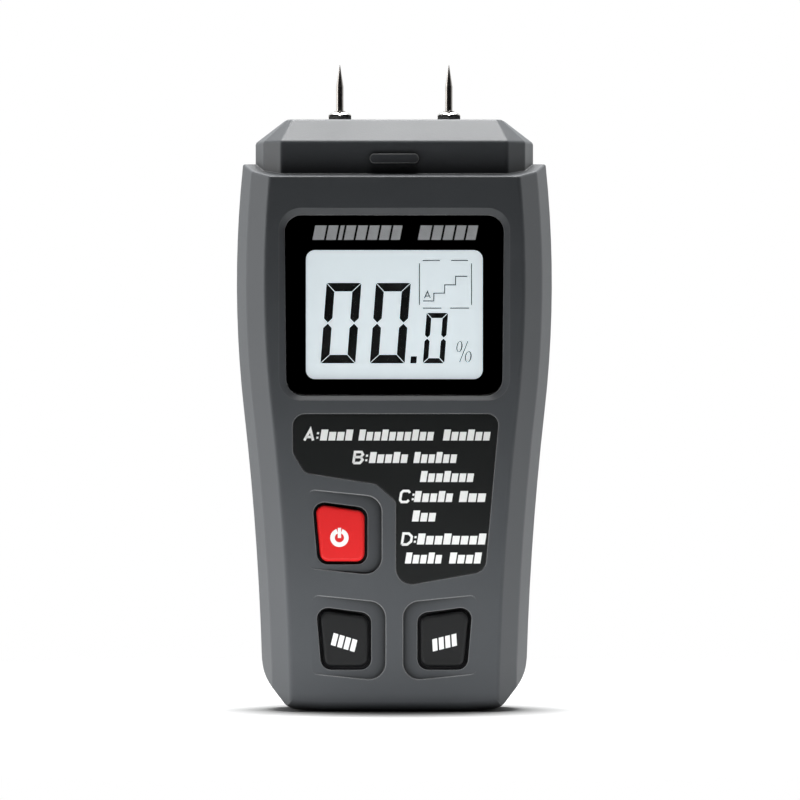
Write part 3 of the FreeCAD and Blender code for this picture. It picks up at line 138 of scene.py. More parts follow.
class METER_PG_stage(bpy.types.PropertyGroup):
    """Floor, lights and camera."""

    floor: bpy.props.FloatVectorProperty(
        name="Floor", description="Pale studio floor", subtype="COLOR", size=4,
        min=0, max=1, default=(0.64, 0.64, 0.64, 1))
    camera_distance: bpy.props.FloatProperty(
        name="Camera distance", description="Long lens, straight at the front", unit="LENGTH",
        default=1.6)
    view_width: bpy.props.FloatProperty(
        name="View width", description="Width in view at the front face", unit="LENGTH",
        default=160 * MM)
    top_power: bpy.props.FloatProperty(
        name="Top light", description="Power of the overhead softbox", unit="POWER", default=10.0)
    brow_power: bpy.props.FloatProperty(
        name="Brow light", description="Power of the overhead strip in front", unit="POWER",
        default=3.2)
    low_power: bpy.props.FloatProperty(
        name="Low light", description="Power of the low front strip", unit="POWER", default=0.042)
    side_power: bpy.props.FloatProperty(
        name="Left light", description="Power of the left softbox", unit="POWER", default=1.6)


# ---------------------------------------------------------------- shader tools


def add(tree, kind, values=None, **settings):
    """A shader node with its settings and the values of its named inputs."""
    made = tree.nodes.new(kind)
    for name, setting in settings.items():
        setattr(made, name, setting)
    for name, value in (values or {}).items():
        made.inputs[name].default_value = value
    return made


def join(tree, *pairs):
    """Link sockets: pairs of (from, to)."""
    for start, end in pairs:
        tree.links.new(start, end)


def new_group(name, inputs, outputs):
    """An empty shader node group with named sockets."""
    tree = bpy.data.node_groups.new(name, "ShaderNodeTree")
    for label, kind, default in inputs:
        socket = tree.interface.new_socket(name=label, in_out="INPUT", socket_type=kind)
        socket.default_value = default
    for label, kind in outputs:
        tree.interface.new_socket(name=label, in_out="OUTPUT", socket_type=kind)
    return tree, add(tree, "NodeGroupInput"), add(tree, "NodeGroupOutput")


FLOAT, COLOUR, VECTOR = "NodeSocketFloat", "NodeSocketColor", "NodeSocketVector"
GREY = (0.5, 0.5, 0.5, 1)
GRAIN, EDGE = "meter_moulded_grain", "meter_edge_rub"
BRUSH, PAINTED_HOLLOW = "meter_brushed_lines", "meter_hollow_shade"
PAINTED_SHADE_REACH = 4.0 * MM  # how far off a wall the painted shade still darkens a recess
EDGE_HIGHLIGHT_SHARE = 0.35  # how far towards white the painted edge highlight goes when its lift is 1


def spread_out(tree, given, out, pattern):
    """Let a pattern round 0.5 vary the group's colour and roughness by its two spreads."""
    centred = add(tree, "ShaderNodeMath", {1: 0.5}, operation="SUBTRACT")
    tone = add(tree, "ShaderNodeMath", operation="MULTIPLY")
    lift = add(tree, "ShaderNodeMath", {1: 1.0}, operation="ADD")
    shade = add(tree, "ShaderNodeVectorMath", operation="SCALE")
    gloss = add(tree, "ShaderNodeMath", operation="MULTIPLY")
    rough = add(tree, "ShaderNodeMath", operation="ADD", use_clamp=True)
    join(tree,
         (pattern, centred.inputs[0]),
         (centred.outputs[0], tone.inputs[0]),
         (given.outputs["Tone Spread"], tone.inputs[1]),
         (tone.outputs[0], lift.inputs[0]),
         (given.outputs["Colour"], shade.inputs[0]),
         (lift.outputs[0], shade.inputs["Scale"]),
         (shade.outputs[0], out.inputs["Colour"]),
         (centred.outputs[0], gloss.inputs[0]),
         (given.outputs["Gloss Spread"], gloss.inputs[1]),
         (gloss.outputs[0], rough.inputs[0]),
         (given.outputs["Roughness"], rough.inputs[1]),
         (rough.outputs[0], out.inputs["Roughness"]))


def grain_group():
    """Spark-eroded mould texture: fine grain, cloudy tone and uneven gloss."""
    tree, given, out = new_group(
        GRAIN,
        [("Colour", COLOUR, GREY), ("Tone Spread", FLOAT, 0.08), ("Grain Scale", FLOAT, 2600.0),
         ("Roughness", FLOAT, 0.45), ("Gloss Spread", FLOAT, 0.08)],
        [("Colour", COLOUR), ("Roughness", FLOAT), ("Height", FLOAT)])
    place = add(tree, "ShaderNodeTexCoord")
    fine = add(tree, "ShaderNodeTexNoise", {"Detail": 2.0, "Roughness": 0.6})
    cloud = add(tree, "ShaderNodeTexNoise", {"Scale": 70.0, "Detail": 3.0})
    both = add(tree, "ShaderNodeMix", {"Factor": 0.45}, data_type="FLOAT")
    join(tree,
         (place.outputs["Object"], fine.inputs["Vector"]),
         (place.outputs["Object"], cloud.inputs["Vector"]),
         (given.outputs["Grain Scale"], fine.inputs["Scale"]),
         (cloud.outputs["Fac"], both.inputs["A"]),
         (fine.outputs["Fac"], both.inputs["B"]),
         (fine.outputs["Fac"], out.inputs["Height"]))
    spread_out(tree, given, out, both.outputs["Result"])


def edge_group():
    """Softened arrises: a rounded normal, and a mask that is 1 along the arrises, where a painted
    highlight goes.
    """
    tree, given, out = new_group(
        EDGE,
        [("Radius", FLOAT, 0.25 * MM), ("Strength", FLOAT, 3.0)],
        [("Mask", FLOAT), ("Normal", VECTOR)])
    soft = add(tree, "ShaderNodeBevel", samples=6)
    face = add(tree, "ShaderNodeNewGeometry")
    match = add(tree, "ShaderNodeVectorMath", operation="DOT_PRODUCT")
    differ = add(tree, "ShaderNodeMath", {0: 1.0}, operation="SUBTRACT", use_clamp=True)
    mask = add(tree, "ShaderNodeMath", operation="MULTIPLY", use_clamp=True)
    join(tree,
         (given.outputs["Radius"], soft.inputs["Radius"]),
         (soft.outputs["Normal"], match.inputs[0]),
         (face.outputs["Normal"], match.inputs[1]),
         (match.outputs["Value"], differ.inputs[1]),
         (differ.outputs[0], mask.inputs[0]),
         (given.outputs["Strength"], mask.inputs[1]),
         (mask.outputs[0], out.inputs["Mask"]),
         (soft.outputs["Normal"], out.inputs["Normal"]))


def brush_group():
    """Fine lines left by turning or drawing, stretched along one direction."""
    tree, given, out = new_group(
        BRUSH,
        [("Colour", COLOUR, GREY), ("Stretch", VECTOR, (200.0, 200.0, 9000.0)),
         ("Tone Spread", FLOAT, 0.2), ("Roughness", FLOAT, 0.3), ("Gloss Spread", FLOAT, 0.15)],
        [("Colour", COLOUR), ("Roughness", FLOAT), ("Height", FLOAT)])
    place = add(tree, "ShaderNodeTexCoord")
    pull = add(tree, "ShaderNodeVectorMath", operation="MULTIPLY")
    lines = add(tree, "ShaderNodeTexNoise", {"Scale": 1.0, "Detail": 3.0})
    join(tree,
         (place.outputs["Object"], pull.inputs[0]),
         (given.outputs["Stretch"], pull.inputs[1]),
         (pull.outputs[0], lines.inputs["Vector"]),
         (lines.outputs["Fac"], out.inputs["Height"]))
    spread_out(tree, given, out, lines.outputs["Fac"])


def painted_shade_group():
    """Painted shade: a colour that darkens in corners, gaps and recesses within a reach."""
    tree, given, out = new_group(
        PAINTED_HOLLOW,
        [("Colour", COLOUR, GREY), ("Reach", FLOAT, PAINTED_SHADE_REACH), ("Depth", FLOAT, 1.0)],
        [("Colour", COLOUR)])
    round_about = add(tree, "ShaderNodeAmbientOcclusion", samples=6)
    open_sky = add(tree, "ShaderNodeMath", operation="POWER")
    shade = add(tree, "ShaderNodeVectorMath", operation="SCALE")
    join(tree,
         (given.outputs["Reach"], round_about.inputs["Distance"]),
         (round_about.outputs["AO"], open_sky.inputs[0]),
         (given.outputs["Depth"], open_sky.inputs[1]),
         (given.outputs["Colour"], shade.inputs[0]),
         (open_sky.outputs[0], shade.inputs["Scale"]),
         (shade.outputs[0], out.inputs["Colour"]))


SHARED = {GRAIN: grain_group, EDGE: edge_group, BRUSH: brush_group, PAINTED_HOLLOW: painted_shade_group}


def need_groups():
    """Build the shared node groups once."""
    for name, build in SHARED.items():
        if name not in bpy.data.node_groups:
            build()


def blank(name):
    """A new material with its Principled shader, and its tree."""
    need_groups()
    made = bpy.data.materials.new(name)
    made.use_nodes = True
    tree = made.node_tree
    tree.nodes.clear()
    shader = add(tree, "ShaderNodeBsdfPrincipled")
    out = add(tree, "ShaderNodeOutputMaterial")
    join(tree, (shader.outputs[0], out.inputs["Surface"]))
    return made, tree, shader


def use_group(tree, name, **values):
    """Place a shared group; keyword names stand for socket names with _ for a space."""
    made = add(tree, "ShaderNodeGroup", node_tree=bpy.data.node_groups[name])
    for key, value in values.items():
        made.inputs[key.replace("_", " ")].default_value = value
    return made


def moulded(name, colour, roughness=0.45, tone=0.1, scale=2600.0, gloss=0.1, height=0.012 * MM,
            edge=0.0, edge_radius=0.25 * MM, edge_highlight_lift=0.35, hollow=0.0, **sockets):
    """Moulded plastic, rubber, card, film or ink, with grain, cloudy tone and uneven gloss.

    edge softens the arrises and paints a paler highlight along them; a shade depth darkens gaps and
    corners with painted shade.
    """
    made, tree, shader = blank(name)
    grain = use_group(tree, GRAIN, Colour=colour, Tone_Spread=tone, Grain_Scale=scale,
                      Roughness=roughness, Gloss_Spread=gloss)
    bump = add(tree, "ShaderNodeBump", {"Strength": 1.0, "Distance": height})
    join(tree,
         (grain.outputs["Height"], bump.inputs["Height"]),
         (bump.outputs["Normal"], shader.inputs["Normal"]),
         (grain.outputs["Roughness"], shader.inputs["Roughness"]))
    base = grain.outputs["Colour"]
    # painted shade: the colour darkens near walls, in gaps and corners
    if hollow:
        darker = use_group(tree, PAINTED_HOLLOW, Reach=PAINTED_SHADE_REACH, Depth=hollow)
        join(tree, (base, darker.inputs["Colour"]))
        base = darker.outputs["Colour"]
    if edge:
        soft_edge = use_group(tree, EDGE, Radius=edge_radius, Strength=edge)
        painted_edge_highlight = add(tree, "ShaderNodeMix", data_type="RGBA", blend_type="MIX")
        # painted highlight: the arrises are mixed towards a paler colour
        lift = [c + (1 - c) * edge_highlight_lift * EDGE_HIGHLIGHT_SHARE for c in colour[:3]]
        painted_edge_highlight.inputs["B"].default_value = (*lift, 1)
        join(tree,
             (soft_edge.outputs["Normal"], bump.inputs["Normal"]),
             (soft_edge.outputs["Mask"], painted_edge_highlight.inputs["Factor"]),
             (base, painted_edge_highlight.inputs["A"]))
        base = painted_edge_highlight.outputs["Result"]
    join(tree, (base, shader.inputs["Base Color"]))
    for key, value in sockets.items():
        shader.inputs[key.replace("_", " ")].default_value = value
    return made


def metal(name, colour, roughness=0.3, stretch=(200.0, 200.0, 9000.0), tone=0.25, gloss=0.2,
          height=0.004 * MM, edge=2.0, edge_radius=0.12 * MM):
    """Turned or drawn metal with fine lines and bright arrises."""
    made, tree, shader = blank(name)
    lines = use_group(tree, BRUSH, Colour=colour, Stretch=stretch, Tone_Spread=tone,
                      Roughness=roughness, Gloss_Spread=gloss)
    soft_edge = use_group(tree, EDGE, Radius=edge_radius, Strength=edge)
    bump = add(tree, "ShaderNodeBump", {"Strength": 1.0, "Distance": height})
    shader.inputs["Metallic"].default_value = 1.0
    join(tree,
         (lines.outputs["Colour"], shader.inputs["Base Color"]),
         (lines.outputs["Roughness"], shader.inputs["Roughness"]),
         (lines.outputs["Height"], bump.inputs["Height"]),
         (soft_edge.outputs["Normal"], bump.inputs["Normal"]),
         (bump.outputs["Normal"], shader.inputs["Normal"]))
    return made


def clear_lens():
    """Clear moulded acrylic with faint waviness."""
    made, tree, shader = blank("clear_acrylic")
    place = add(tree, "ShaderNodeTexCoord")
    waves = add(tree, "ShaderNodeTexNoise", {"Scale": 90.0, "Detail": 1.0})
    bump = add(tree, "ShaderNodeBump", {"Strength": 0.3, "Distance": 0.01 * MM})
    join(tree,
         (place.outputs["Object"], waves.inputs["Vector"]),
         (waves.outputs["Fac"], bump.inputs["Height"]),
         (bump.outputs["Normal"], shader.inputs["Normal"]))
    for key, value in {"Base Color": (0.99, 1.0, 1.0, 1), "Roughness": 0.02, "IOR": 1.49,
                       "Transmission Weight": 1.0}.items():
        shader.inputs[key].default_value = value
    return made


DISPLAY_GLOW = 0.84


def lit_display(colour):
    """Display glass over its light guide: a pale, evenly lit ground with fine polariser grain."""
    made, tree, shader = blank("display_ground")
    grain = use_group(tree, GRAIN, Colour=colour, Tone_Spread=0.05, Grain_Scale=4000.0,
                      Roughness=0.35, Gloss_Spread=0.1)
    join(tree,
         (grain.outputs["Colour"], shader.inputs["Base Color"]),
         (grain.outputs["Colour"], shader.inputs["Emission Color"]),
         (grain.outputs["Roughness"], shader.inputs["Roughness"]))
    shader.inputs["Emission Strength"].default_value = DISPLAY_GLOW
    return made


def circuit_finish():
    """Green solder mask over tracks, with a fibre weave under it."""
    made, tree, shader = blank("solder_mask")
    place = add(tree, "ShaderNodeTexCoord")
    tracks = add(tree, "ShaderNodeTexBrick",
                 {"Color1": (0.010, 0.11, 0.035, 1), "Color2": (0.012, 0.14, 0.045, 1),
                  "Mortar": (0.03, 0.26, 0.09, 1), "Scale": 420.0, "Mortar Size": 0.035})
    weave = add(tree, "ShaderNodeTexWave", {"Scale": 900.0, "Distortion": 0.5})
    turn = add(tree, "ShaderNodeMapping")
    turn.inputs["Rotation"].default_value = (math.radians(90), 0, 0)
    rough = add(tree, "ShaderNodeMapRange", {"To Min": 0.22, "To Max": 0.38})
    bump = add(tree, "ShaderNodeBump", {"Strength": 0.5, "Distance": 0.03 * MM})
    join(tree,
         (place.outputs["Object"], turn.inputs["Vector"]),
         (turn.outputs["Vector"], tracks.inputs["Vector"]),
         (place.outputs["Object"], weave.inputs["Vector"]),
         (weave.outputs["Fac"], rough.inputs["Value"]),
         (rough.outputs["Result"], shader.inputs["Roughness"]),
         (tracks.outputs["Color"], shader.inputs["Base Color"]),
         (tracks.outputs["Fac"], bump.inputs["Height"]),
         (bump.outputs["Normal"], shader.inputs["Normal"]))
    return made


BAND_FOOT, BAND_TOP = 0.70, 0.725  # pale band of the battery's jacket, of its height


def battery_finish():
    """Printed foil jacket: dark body, narrow pale band and copper top, with faint lines."""
    low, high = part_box("battery")
    made, tree, shader = blank("battery_jacket")
    place = add(tree, "ShaderNodeTexCoord")
    part = add(tree, "ShaderNodeSeparateXYZ")
    height = add(tree, "ShaderNodeMapRange", {"From Min": low.z, "From Max": high.z})
    bands = add(tree, "ShaderNodeValToRGB")
    bands.color_ramp.interpolation = "CONSTANT"
    stops = bands.color_ramp.elements
    stops[0].color = (0.012, 0.013, 0.016, 1)
    stops[1].position = BAND_FOOT
    stops[1].color = (0.66, 0.66, 0.64, 1)
    top = stops.new(BAND_TOP)
    top.color = (0.55, 0.22, 0.07, 1)
    foil = use_group(tree, BRUSH, Stretch=(120.0, 120.0, 5200.0), Tone_Spread=0.14, Roughness=0.32,
                     Gloss_Spread=0.2)
    bump = add(tree, "ShaderNodeBump", {"Strength": 1.0, "Distance": 0.005 * MM})
    shader.inputs["Metallic"].default_value = 0.65
    join(tree,
         (place.outputs["Object"], part.inputs[0]),
         (part.outputs["Z"], height.inputs["Value"]),
         (height.outputs["Result"], bands.inputs["Fac"]),
         (bands.outputs["Color"], foil.inputs["Colour"]),
         (foil.outputs["Colour"], shader.inputs["Base Color"]),
         (foil.outputs["Roughness"], shader.inputs["Roughness"]),
         (foil.outputs["Height"], bump.inputs["Height"]),
         (bump.outputs["Normal"], shader.inputs["Normal"]))
    return made


def foam_finish():
    """Open-cell foam: dark pores in grey."""
    made, tree, shader = blank("open_foam")
    place = add(tree, "ShaderNodeTexCoord")
    cells = add(tree, "ShaderNodeTexVoronoi", {"Scale": 2200.0})
    tone = add(tree, "ShaderNodeValToRGB")
    tone.color_ramp.elements[0].color = (0.02, 0.02, 0.022, 1)
    tone.color_ramp.elements[1].position = 0.45
    tone.color_ramp.elements[1].color = (0.10, 0.10, 0.105, 1)
    bump = add(tree, "ShaderNodeBump", {"Strength": 1.0, "Distance": 0.15 * MM})
    shader.inputs["Roughness"].default_value = 0.95
    join(tree,
         (place.outputs["Object"], cells.inputs["Vector"]),
         (cells.outputs["Distance"], tone.inputs["Fac"]),
         (tone.outputs["Color"], shader.inputs["Base Color"]),
         (cells.outputs["Distance"], bump.inputs["Height"]),
         (bump.outputs["Normal"], shader.inputs["Normal"]))
    return made


def dress(finishes):
    """Give each CAD node the material of its slot, where finishes has one."""
    for name, thing in NODES.items():
        finish = finishes.get(SLOT_OF[name])
        if finish is None:
            continue
        for slot in thing.material_slots:
            slot.material = finish


# ---------------------------------------------------------------- mesh tools

WELD = 0.0005  # points nearer than this become one, in millimetres


def make_piece(name, mesh, material, body):
    """Turn a bmesh, drawn in millimetres, into a piece that rides on a CAD body."""
    bmesh.ops.remove_doubles(mesh, verts=mesh.verts, dist=WELD)
    bmesh.ops.recalc_face_normals(mesh, faces=mesh.faces)
    bmesh.ops.scale(mesh, vec=(MM, MM, MM), verts=mesh.verts)
    data = bpy.data.meshes.new(name)
    mesh.to_mesh(data)
    mesh.free()
    piece = bpy.data.objects.new(name, data)
    bpy.context.scene.collection.objects.link(piece)
    data.materials.append(material)
    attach(piece, body)
    return piece


def rectangle(left, foot, right, top):
    """Corners of an upright rectangle."""
    return [(left, foot), (right, foot), (right, top), (left, top)]


def add_plate(mesh, outline, y_front):
    """A plate of printing with the given (x, z) corners, its front face at y_front."""
    front = [mesh.verts.new((x, y_front, z)) for x, z in outline]
    back = [mesh.verts.new((x, y_front + PRINT_THICK, z)) for x, z in outline]
    mesh.faces.new(front)
    mesh.faces.new(back[::-1])
    for i, corner in enumerate(front):
        j = (i + 1) % len(front)
        mesh.faces.new((front[j], corner, back[i], back[j]))


def add_ring(mesh, outer, inner, y_front, closed=True):
    """A flat band between two outlines with as many corners each."""
    count = len(outer)
    rows = [[mesh.verts.new((x, y, z)) for x, z in line]
            for line in (outer, inner) for y in (y_front, y_front + PRINT_THICK)]
    outer_front, outer_back, inner_front, inner_back = rows
    for i in range(count if closed else count - 1):
        j = (i + 1) % count
        mesh.faces.new((outer_front[i], outer_front[j], inner_front[j], inner_front[i]))
        mesh.faces.new((outer_back[j], outer_back[i], inner_back[i], inner_back[j]))
        mesh.faces.new((outer_front[j], outer_front[i], outer_back[i], outer_back[j]))
        mesh.faces.new((inner_front[i], inner_front[j], inner_back[j], inner_back[i]))
    if not closed:
        for i in (0, count - 1):
            mesh.faces.new((outer_front[i], inner_front[i], inner_back[i], outer_back[i]))


def add_stroke(mesh, points, width, y_front, sharpest=0.35):
    """A line of constant width through (x, z) points, with mitred corners.

    sharpest is the cosine past which a mitre grows no longer.
    """
    left, right = [], []
    for i, point in enumerate(points):
        here = Vector(point)
        before = (here - Vector(points[i - 1])).normalized() if i else None
        after = (Vector(points[i + 1]) - here).normalized() if i < len(points) - 1 else None
        along = ((before or after) + (after or before)).normalized()
        across = Vector((-along.y, along.x))
        reach = width / 2 / max(sharpest, along.dot(after or before))
        left.append(tuple(here + across * reach))
        right.append(tuple(here - across * reach))
    add_ring(mesh, left, right, y_front, closed=False)


def ellipse(centre, half_x, half_z, start=0.0, sweep=360.0, count=40):
    """Points round an ellipse, from start over sweep degrees."""
    steps = count if sweep == 360.0 else count - 1
    angles = [math.radians(start + sweep * i / steps) for i in range(count)]
    return [(centre[0] + half_x * math.cos(a), centre[1] + half_z * math.sin(a)) for a in angles]


def leaning(outline, foot, slant):
    """The outline with every point moved right by slant times its height over foot."""
    return [(x + (z - foot) * slant, z) for x, z in outline]


def settle_on(mesh, node, sink=0.01, ahead=50.0):
    """Lay a flat drawing, made at y 0 to PRINT_THICK, on the front of a CAD node.

    Its back sinks in a little. ahead is a distance in front that is clear of the node.
    """
    data = NODES[node].data
    tree = BVHTree.FromPolygons([v.co / MM for v in data.vertices],
                                [p.vertices for p in data.polygons])
    for vert in mesh.verts:
        hit = tree.ray_cast(Vector((vert.co.x, -ahead, vert.co.z)), Vector((0, 1, 0)))[0]
        if hit is None:
            raise RuntimeError(f"the drawing runs off {node}")
        vert.co.y = hit.y + (sink if vert.co.y > PRINT_THICK / 2 else -PRINT_THICK)


# ---------------------------------------------------------------- display


def segment_digit(mesh, foot_x, foot_z, width, height, stroke, gap, slant, y_front):
    """The six bars of a nought on a seven-segment display."""
    half = height / 2
    point = stroke / 2
    g = gap / 2
    bars = [
        [(g, height), (width - g, height), (width - stroke - g, height - stroke),
         (stroke + g, height - stroke)],
        [(g, 0), (stroke + g, stroke), (width - stroke - g, stroke), (width - g, 0)],
    ]
    for side in (0, 1):
        for up in (0, 1):
            outer_end = [(0, g), (0, half - point - g), (point, half - g),
                         (stroke, half - point - g), (stroke, stroke + g)]
            bar = [(x, height - z if up else z) for x, z in outer_end]
            bars.append([(width - x if side else x, z) for x, z in bar])
    for bar in bars:
        placed = [(foot_x + x, foot_z + z) for x, z in bar]
        add_plate(mesh, leaning(placed, foot_z, slant), y_front)


class METER_OT_display(bpy.types.Operator):
    """Dark segments, decimal point, per cent sign and range icon on the display glass."""

    bl_idname = "meter.display"
    bl_label = "Display segments"

    # Places are in millimetres from the middle of the display.
    DIGIT_LEFT = -14.8
    DIGIT_PITCH = 9.89
    FOOT = -9.75
    POINT = (3.2, 1.22, 1.4)  # left edge, width, height
    TENTH_LEFT = 5.7
    SIGN_SLASH = ((13.08, -9.5), (14.76, -5.24))
    SIGN_RINGS = (((13.06, -6.42), 0.6, 1.1), ((14.82, -8.44), 0.66, 1.12))  # middle, half sizes
    SIGN_LINE = 0.16
    SIGN_SLANT = 0.12
    RING_SIDE, RING_END = 0.22, 0.1  # line of a ring at its sides, and at its top and foot
    RING_SHIFT = -0.03  # how far right of the ring's middle its opening is
    THIN_GREY = (0.12, 0.13, 0.14, 1)
    RANGE_LINES = (  # corners of the frame's brackets, the stairs and the letter A
        ((5.68, 10.86), (9.18, 10.86)), ((11.38, 10.86), (14.78, 10.86)),
        ((5.66, 1.3), (9.48, 1.3)), ((11.18, 1.3), (14.98, 1.3)),
        ((5.02, 10.26), (5.02, 1.9)), ((15.48, 10.26), (15.48, 1.9)),
        ((5.74, 2.74), (7.91, 2.74), (7.91, 4.3), (10.07, 4.3), (10.07, 5.96), (12.27, 5.96),
         (12.27, 7.68), (14.64, 7.68)),
        ((6.04, 3.28), (6.63, 4.66), (7.22, 3.28)), ((6.24, 3.72), (7.02, 3.72)))

    def execute(self, context):
        sizes = context.scene.meter_display
        colours = context.scene.meter_colours
        black, grey = [moulded(name, colour, 0.5, tone=0.3, scale=5000.0, height=0.001 * MM)
                       for name, colour in (("segment_black", colours.segment),
                                            ("segment_thin", self.THIN_GREY))]
        low, high = box_mm("light_guide")
        middle_x, middle_z = (low.x + high.x) / 2, (low.z + high.z) / 2
        y_front = box_mm("lcd_panel")[0].y - PRINT_THICK
        foot = middle_z + self.FOOT
        digits = bmesh.new()
        big = (sizes.digit_width / MM, sizes.digit_height / MM, sizes.digit_stroke / MM)
        small = (sizes.tenth_width / MM, sizes.tenth_height / MM, sizes.tenth_stroke / MM)
        gap = sizes.segment_gap / MM
        for left, size in ((self.DIGIT_LEFT, big), (self.DIGIT_LEFT + self.DIGIT_PITCH, big),
                           (self.TENTH_LEFT, small)):
            segment_digit(digits, middle_x + left, foot, *size, gap, sizes.slant, y_front)
        left, width, height = self.POINT
        left += middle_x
        dot = rectangle(left, foot, left + width, foot + height)
        add_plate(digits, leaning(dot, foot, sizes.slant), y_front)
        make_piece("display_digits", digits, black, "case")

        icons = bmesh.new()
        line = sizes.icon_line / MM
        for points in self.RANGE_LINES:
            add_stroke(icons, [(middle_x + u, middle_z + v) for u, v in points], line, y_front)
        make_piece("display_range_icon", icons, grey, "case")

        sign = bmesh.new()
        slash = [(middle_x + u, middle_z + v) for u, v in self.SIGN_SLASH]
        add_stroke(sign, slash, self.SIGN_LINE, y_front)
        for (u, v), half_x, half_z in self.SIGN_RINGS:
            x, z = middle_x + u, middle_z + v
            outer = ellipse((x, z), half_x, half_z)
            inner = ellipse((x + self.RING_SHIFT, z), half_x - self.RING_SIDE,
                            half_z - self.RING_END)
            add_ring(sign, leaning(outer, z, self.SIGN_SLANT),
                     leaning(inner, z, self.SIGN_SLANT), y_front)
        make_piece("display_per_cent", sign, black, "case")
        return {"FINISHED"}


# ---------------------------------------------------------------- printing


def word_blocks(mesh, left, right, foot, height, count, slant, y_front, gap=0.3, low_share=0.78):
    """Stand-in for a word: count blocks, the first and every fourth one tall, the rest lower."""
    pitch = (right - left + gap) / count
    for i in range(count):
        x = left + i * pitch
        top = foot + (height if i == 0 or i % 4 == 3 else height * low_share)
        block = rectangle(x, foot, x + pitch - gap, top)
        add_plate(mesh, leaning(block, foot, slant), y_front)


def letter_strokes(letter, left, foot, width, height, slant):
    """Strokes of one group letter, A to D."""
    w, h = width, height
    shapes = {
        "A": [[(0, 0), (w * 0.5, h), (w, 0)], [(w * 0.2, h * 0.32), (w * 0.8, h * 0.32)]],
        "B": [[(0, 0), (0, h), (w * 0.75, h), (w * 0.95, h * 0.78), (w * 0.75, h * 0.54),
               (0, h * 0.54)],
              [(w * 0.75, h * 0.54), (w, h * 0.28), (w * 0.75, 0), (0, 0)]],
        "C": [[(w, h * 0.82), (w * 0.8, h), (w * 0.2, h), (0, h * 0.82), (0, h * 0.18),
               (w * 0.2, 0), (w * 0.8, 0), (w, h * 0.18)]],
        "D": [[(0, 0), (0, h), (w * 0.6, h), (w, h * 0.72), (w, h * 0.28), (w * 0.6, 0), (0, 0)]],
    }
    return [leaning([(left + x, foot + z) for x, z in line], foot, slant)
            for line in shapes[letter]]


class METER_OT_heading(bpy.types.Operator):
    """Silver blocks printed behind the lens, over the display window."""

    bl_idname = "meter.heading"
    bl_label = "Lens heading"

    HEIGHT = 2.9
    DROP = 4.85  # lens top down to the blocks' foot
    SLANT = 0.2
    GAP = 0.42
    WORDS = (  # left edge of each word, and the widths of its blocks
        (-16.4, (2.3, 1.95, 0.8, 1.9, 1.9, 1.95, 1.95, 1.8)),
        (4.7, (2.3, 1.85, 1.9, 1.85, 1.95)))

    def execute(self, context):
        colours = context.scene.meter_colours
        # The silver print glows: painted light standing in for the light that reaches it through
        # the lens.
        silver = moulded("heading_silver", colours.heading, 0.4, tone=0.5, scale=900.0,
                         height=0.002 * MM, Emission_Color=colours.heading, Emission_Strength=0.35)
        y_front = box_mm("window_mask")[0].y - PRINT_THICK
        foot = box_mm("display_lens")[1].z - self.DROP
        mesh = bmesh.new()
        for left, widths in self.WORDS:
            x = left
            for width in widths:
                block = rectangle(x, foot, x + width, foot + self.HEIGHT)
                add_plate(mesh, leaning(block, foot, self.SLANT), y_front)
                x += width + self.GAP
        make_piece("lens_heading", mesh, silver, "case")
        return {"FINISHED"}


class METER_OT_label_print(bpy.types.Operator):
    """Group letters and blank word blocks printed on the stepped label."""

    bl_idname = "meter.label_print"
    bl_label = "Label printing"

    HEIGHT = 2.2
    SLANT = 0.16
    LINES = (  # foot of the line, (left, right, blocks) of each word
        (54.3, ((-14.9, -8.5, 4), (-7.2, 7.7, 10), (9.7, 19.0, 6))),
        (49.8, ((-5.1, 2.5, 5), (3.8, 12.3, 6))),
        (46.0, ((5.1, 15.7, 7),)),
        (42.0, ((3.9, 11.5, 5), (12.9, 18.1, 3))),
        (38.1, ((3.5, 8.1, 3),)),
        (33.5, ((4.5, 18.1, 8),)),
        (29.7, ((2.1, 9.3, 5), (10.9, 17.2, 4))))
    GROUPS = (  # letter, left edge, foot
        ("A", -18.0, 54.3), ("B", -8.2, 49.8), ("C", 1.1, 42.0), ("D", 1.5, 33.5))
    LETTER_WIDTH = 1.75
    LETTER_LINE = 0.5
    DOT = 0.42
    DOT_GAP = 0.55
    DOT_RISES = (0.35, 1.25)

    def execute(self, context):
        colours = context.scene.meter_colours
        ink = moulded("label_ink", colours.ink, 0.5, tone=0.25, scale=3500.0, height=0.003 * MM)
        y_front = box_mm("label_plate")[0].y - PRINT_THICK
        mesh = bmesh.new()
        for foot, words in self.LINES:
            for left, right, count in words:
                word_blocks(mesh, left, right, foot, self.HEIGHT, count, self.SLANT, y_front)
        make_piece("label_word_blocks", mesh, ink, "case")
        letters = bmesh.new()
        for letter, left, foot in self.GROUPS:
            for line in letter_strokes(letter, left, foot, self.LETTER_WIDTH, self.HEIGHT,
                                       self.SLANT):
                add_stroke(letters, line, self.LETTER_LINE, y_front)
            for up in self.DOT_RISES:
                x, z = left + self.LETTER_WIDTH + self.DOT_GAP, foot + up
                dot = rectangle(x, z, x + self.DOT, z + self.DOT)
                add_plate(letters, leaning(dot, foot, self.SLANT), y_front)
        make_piece("label_group_letters", letters, ink, "case")
        return {"FINISHED"}


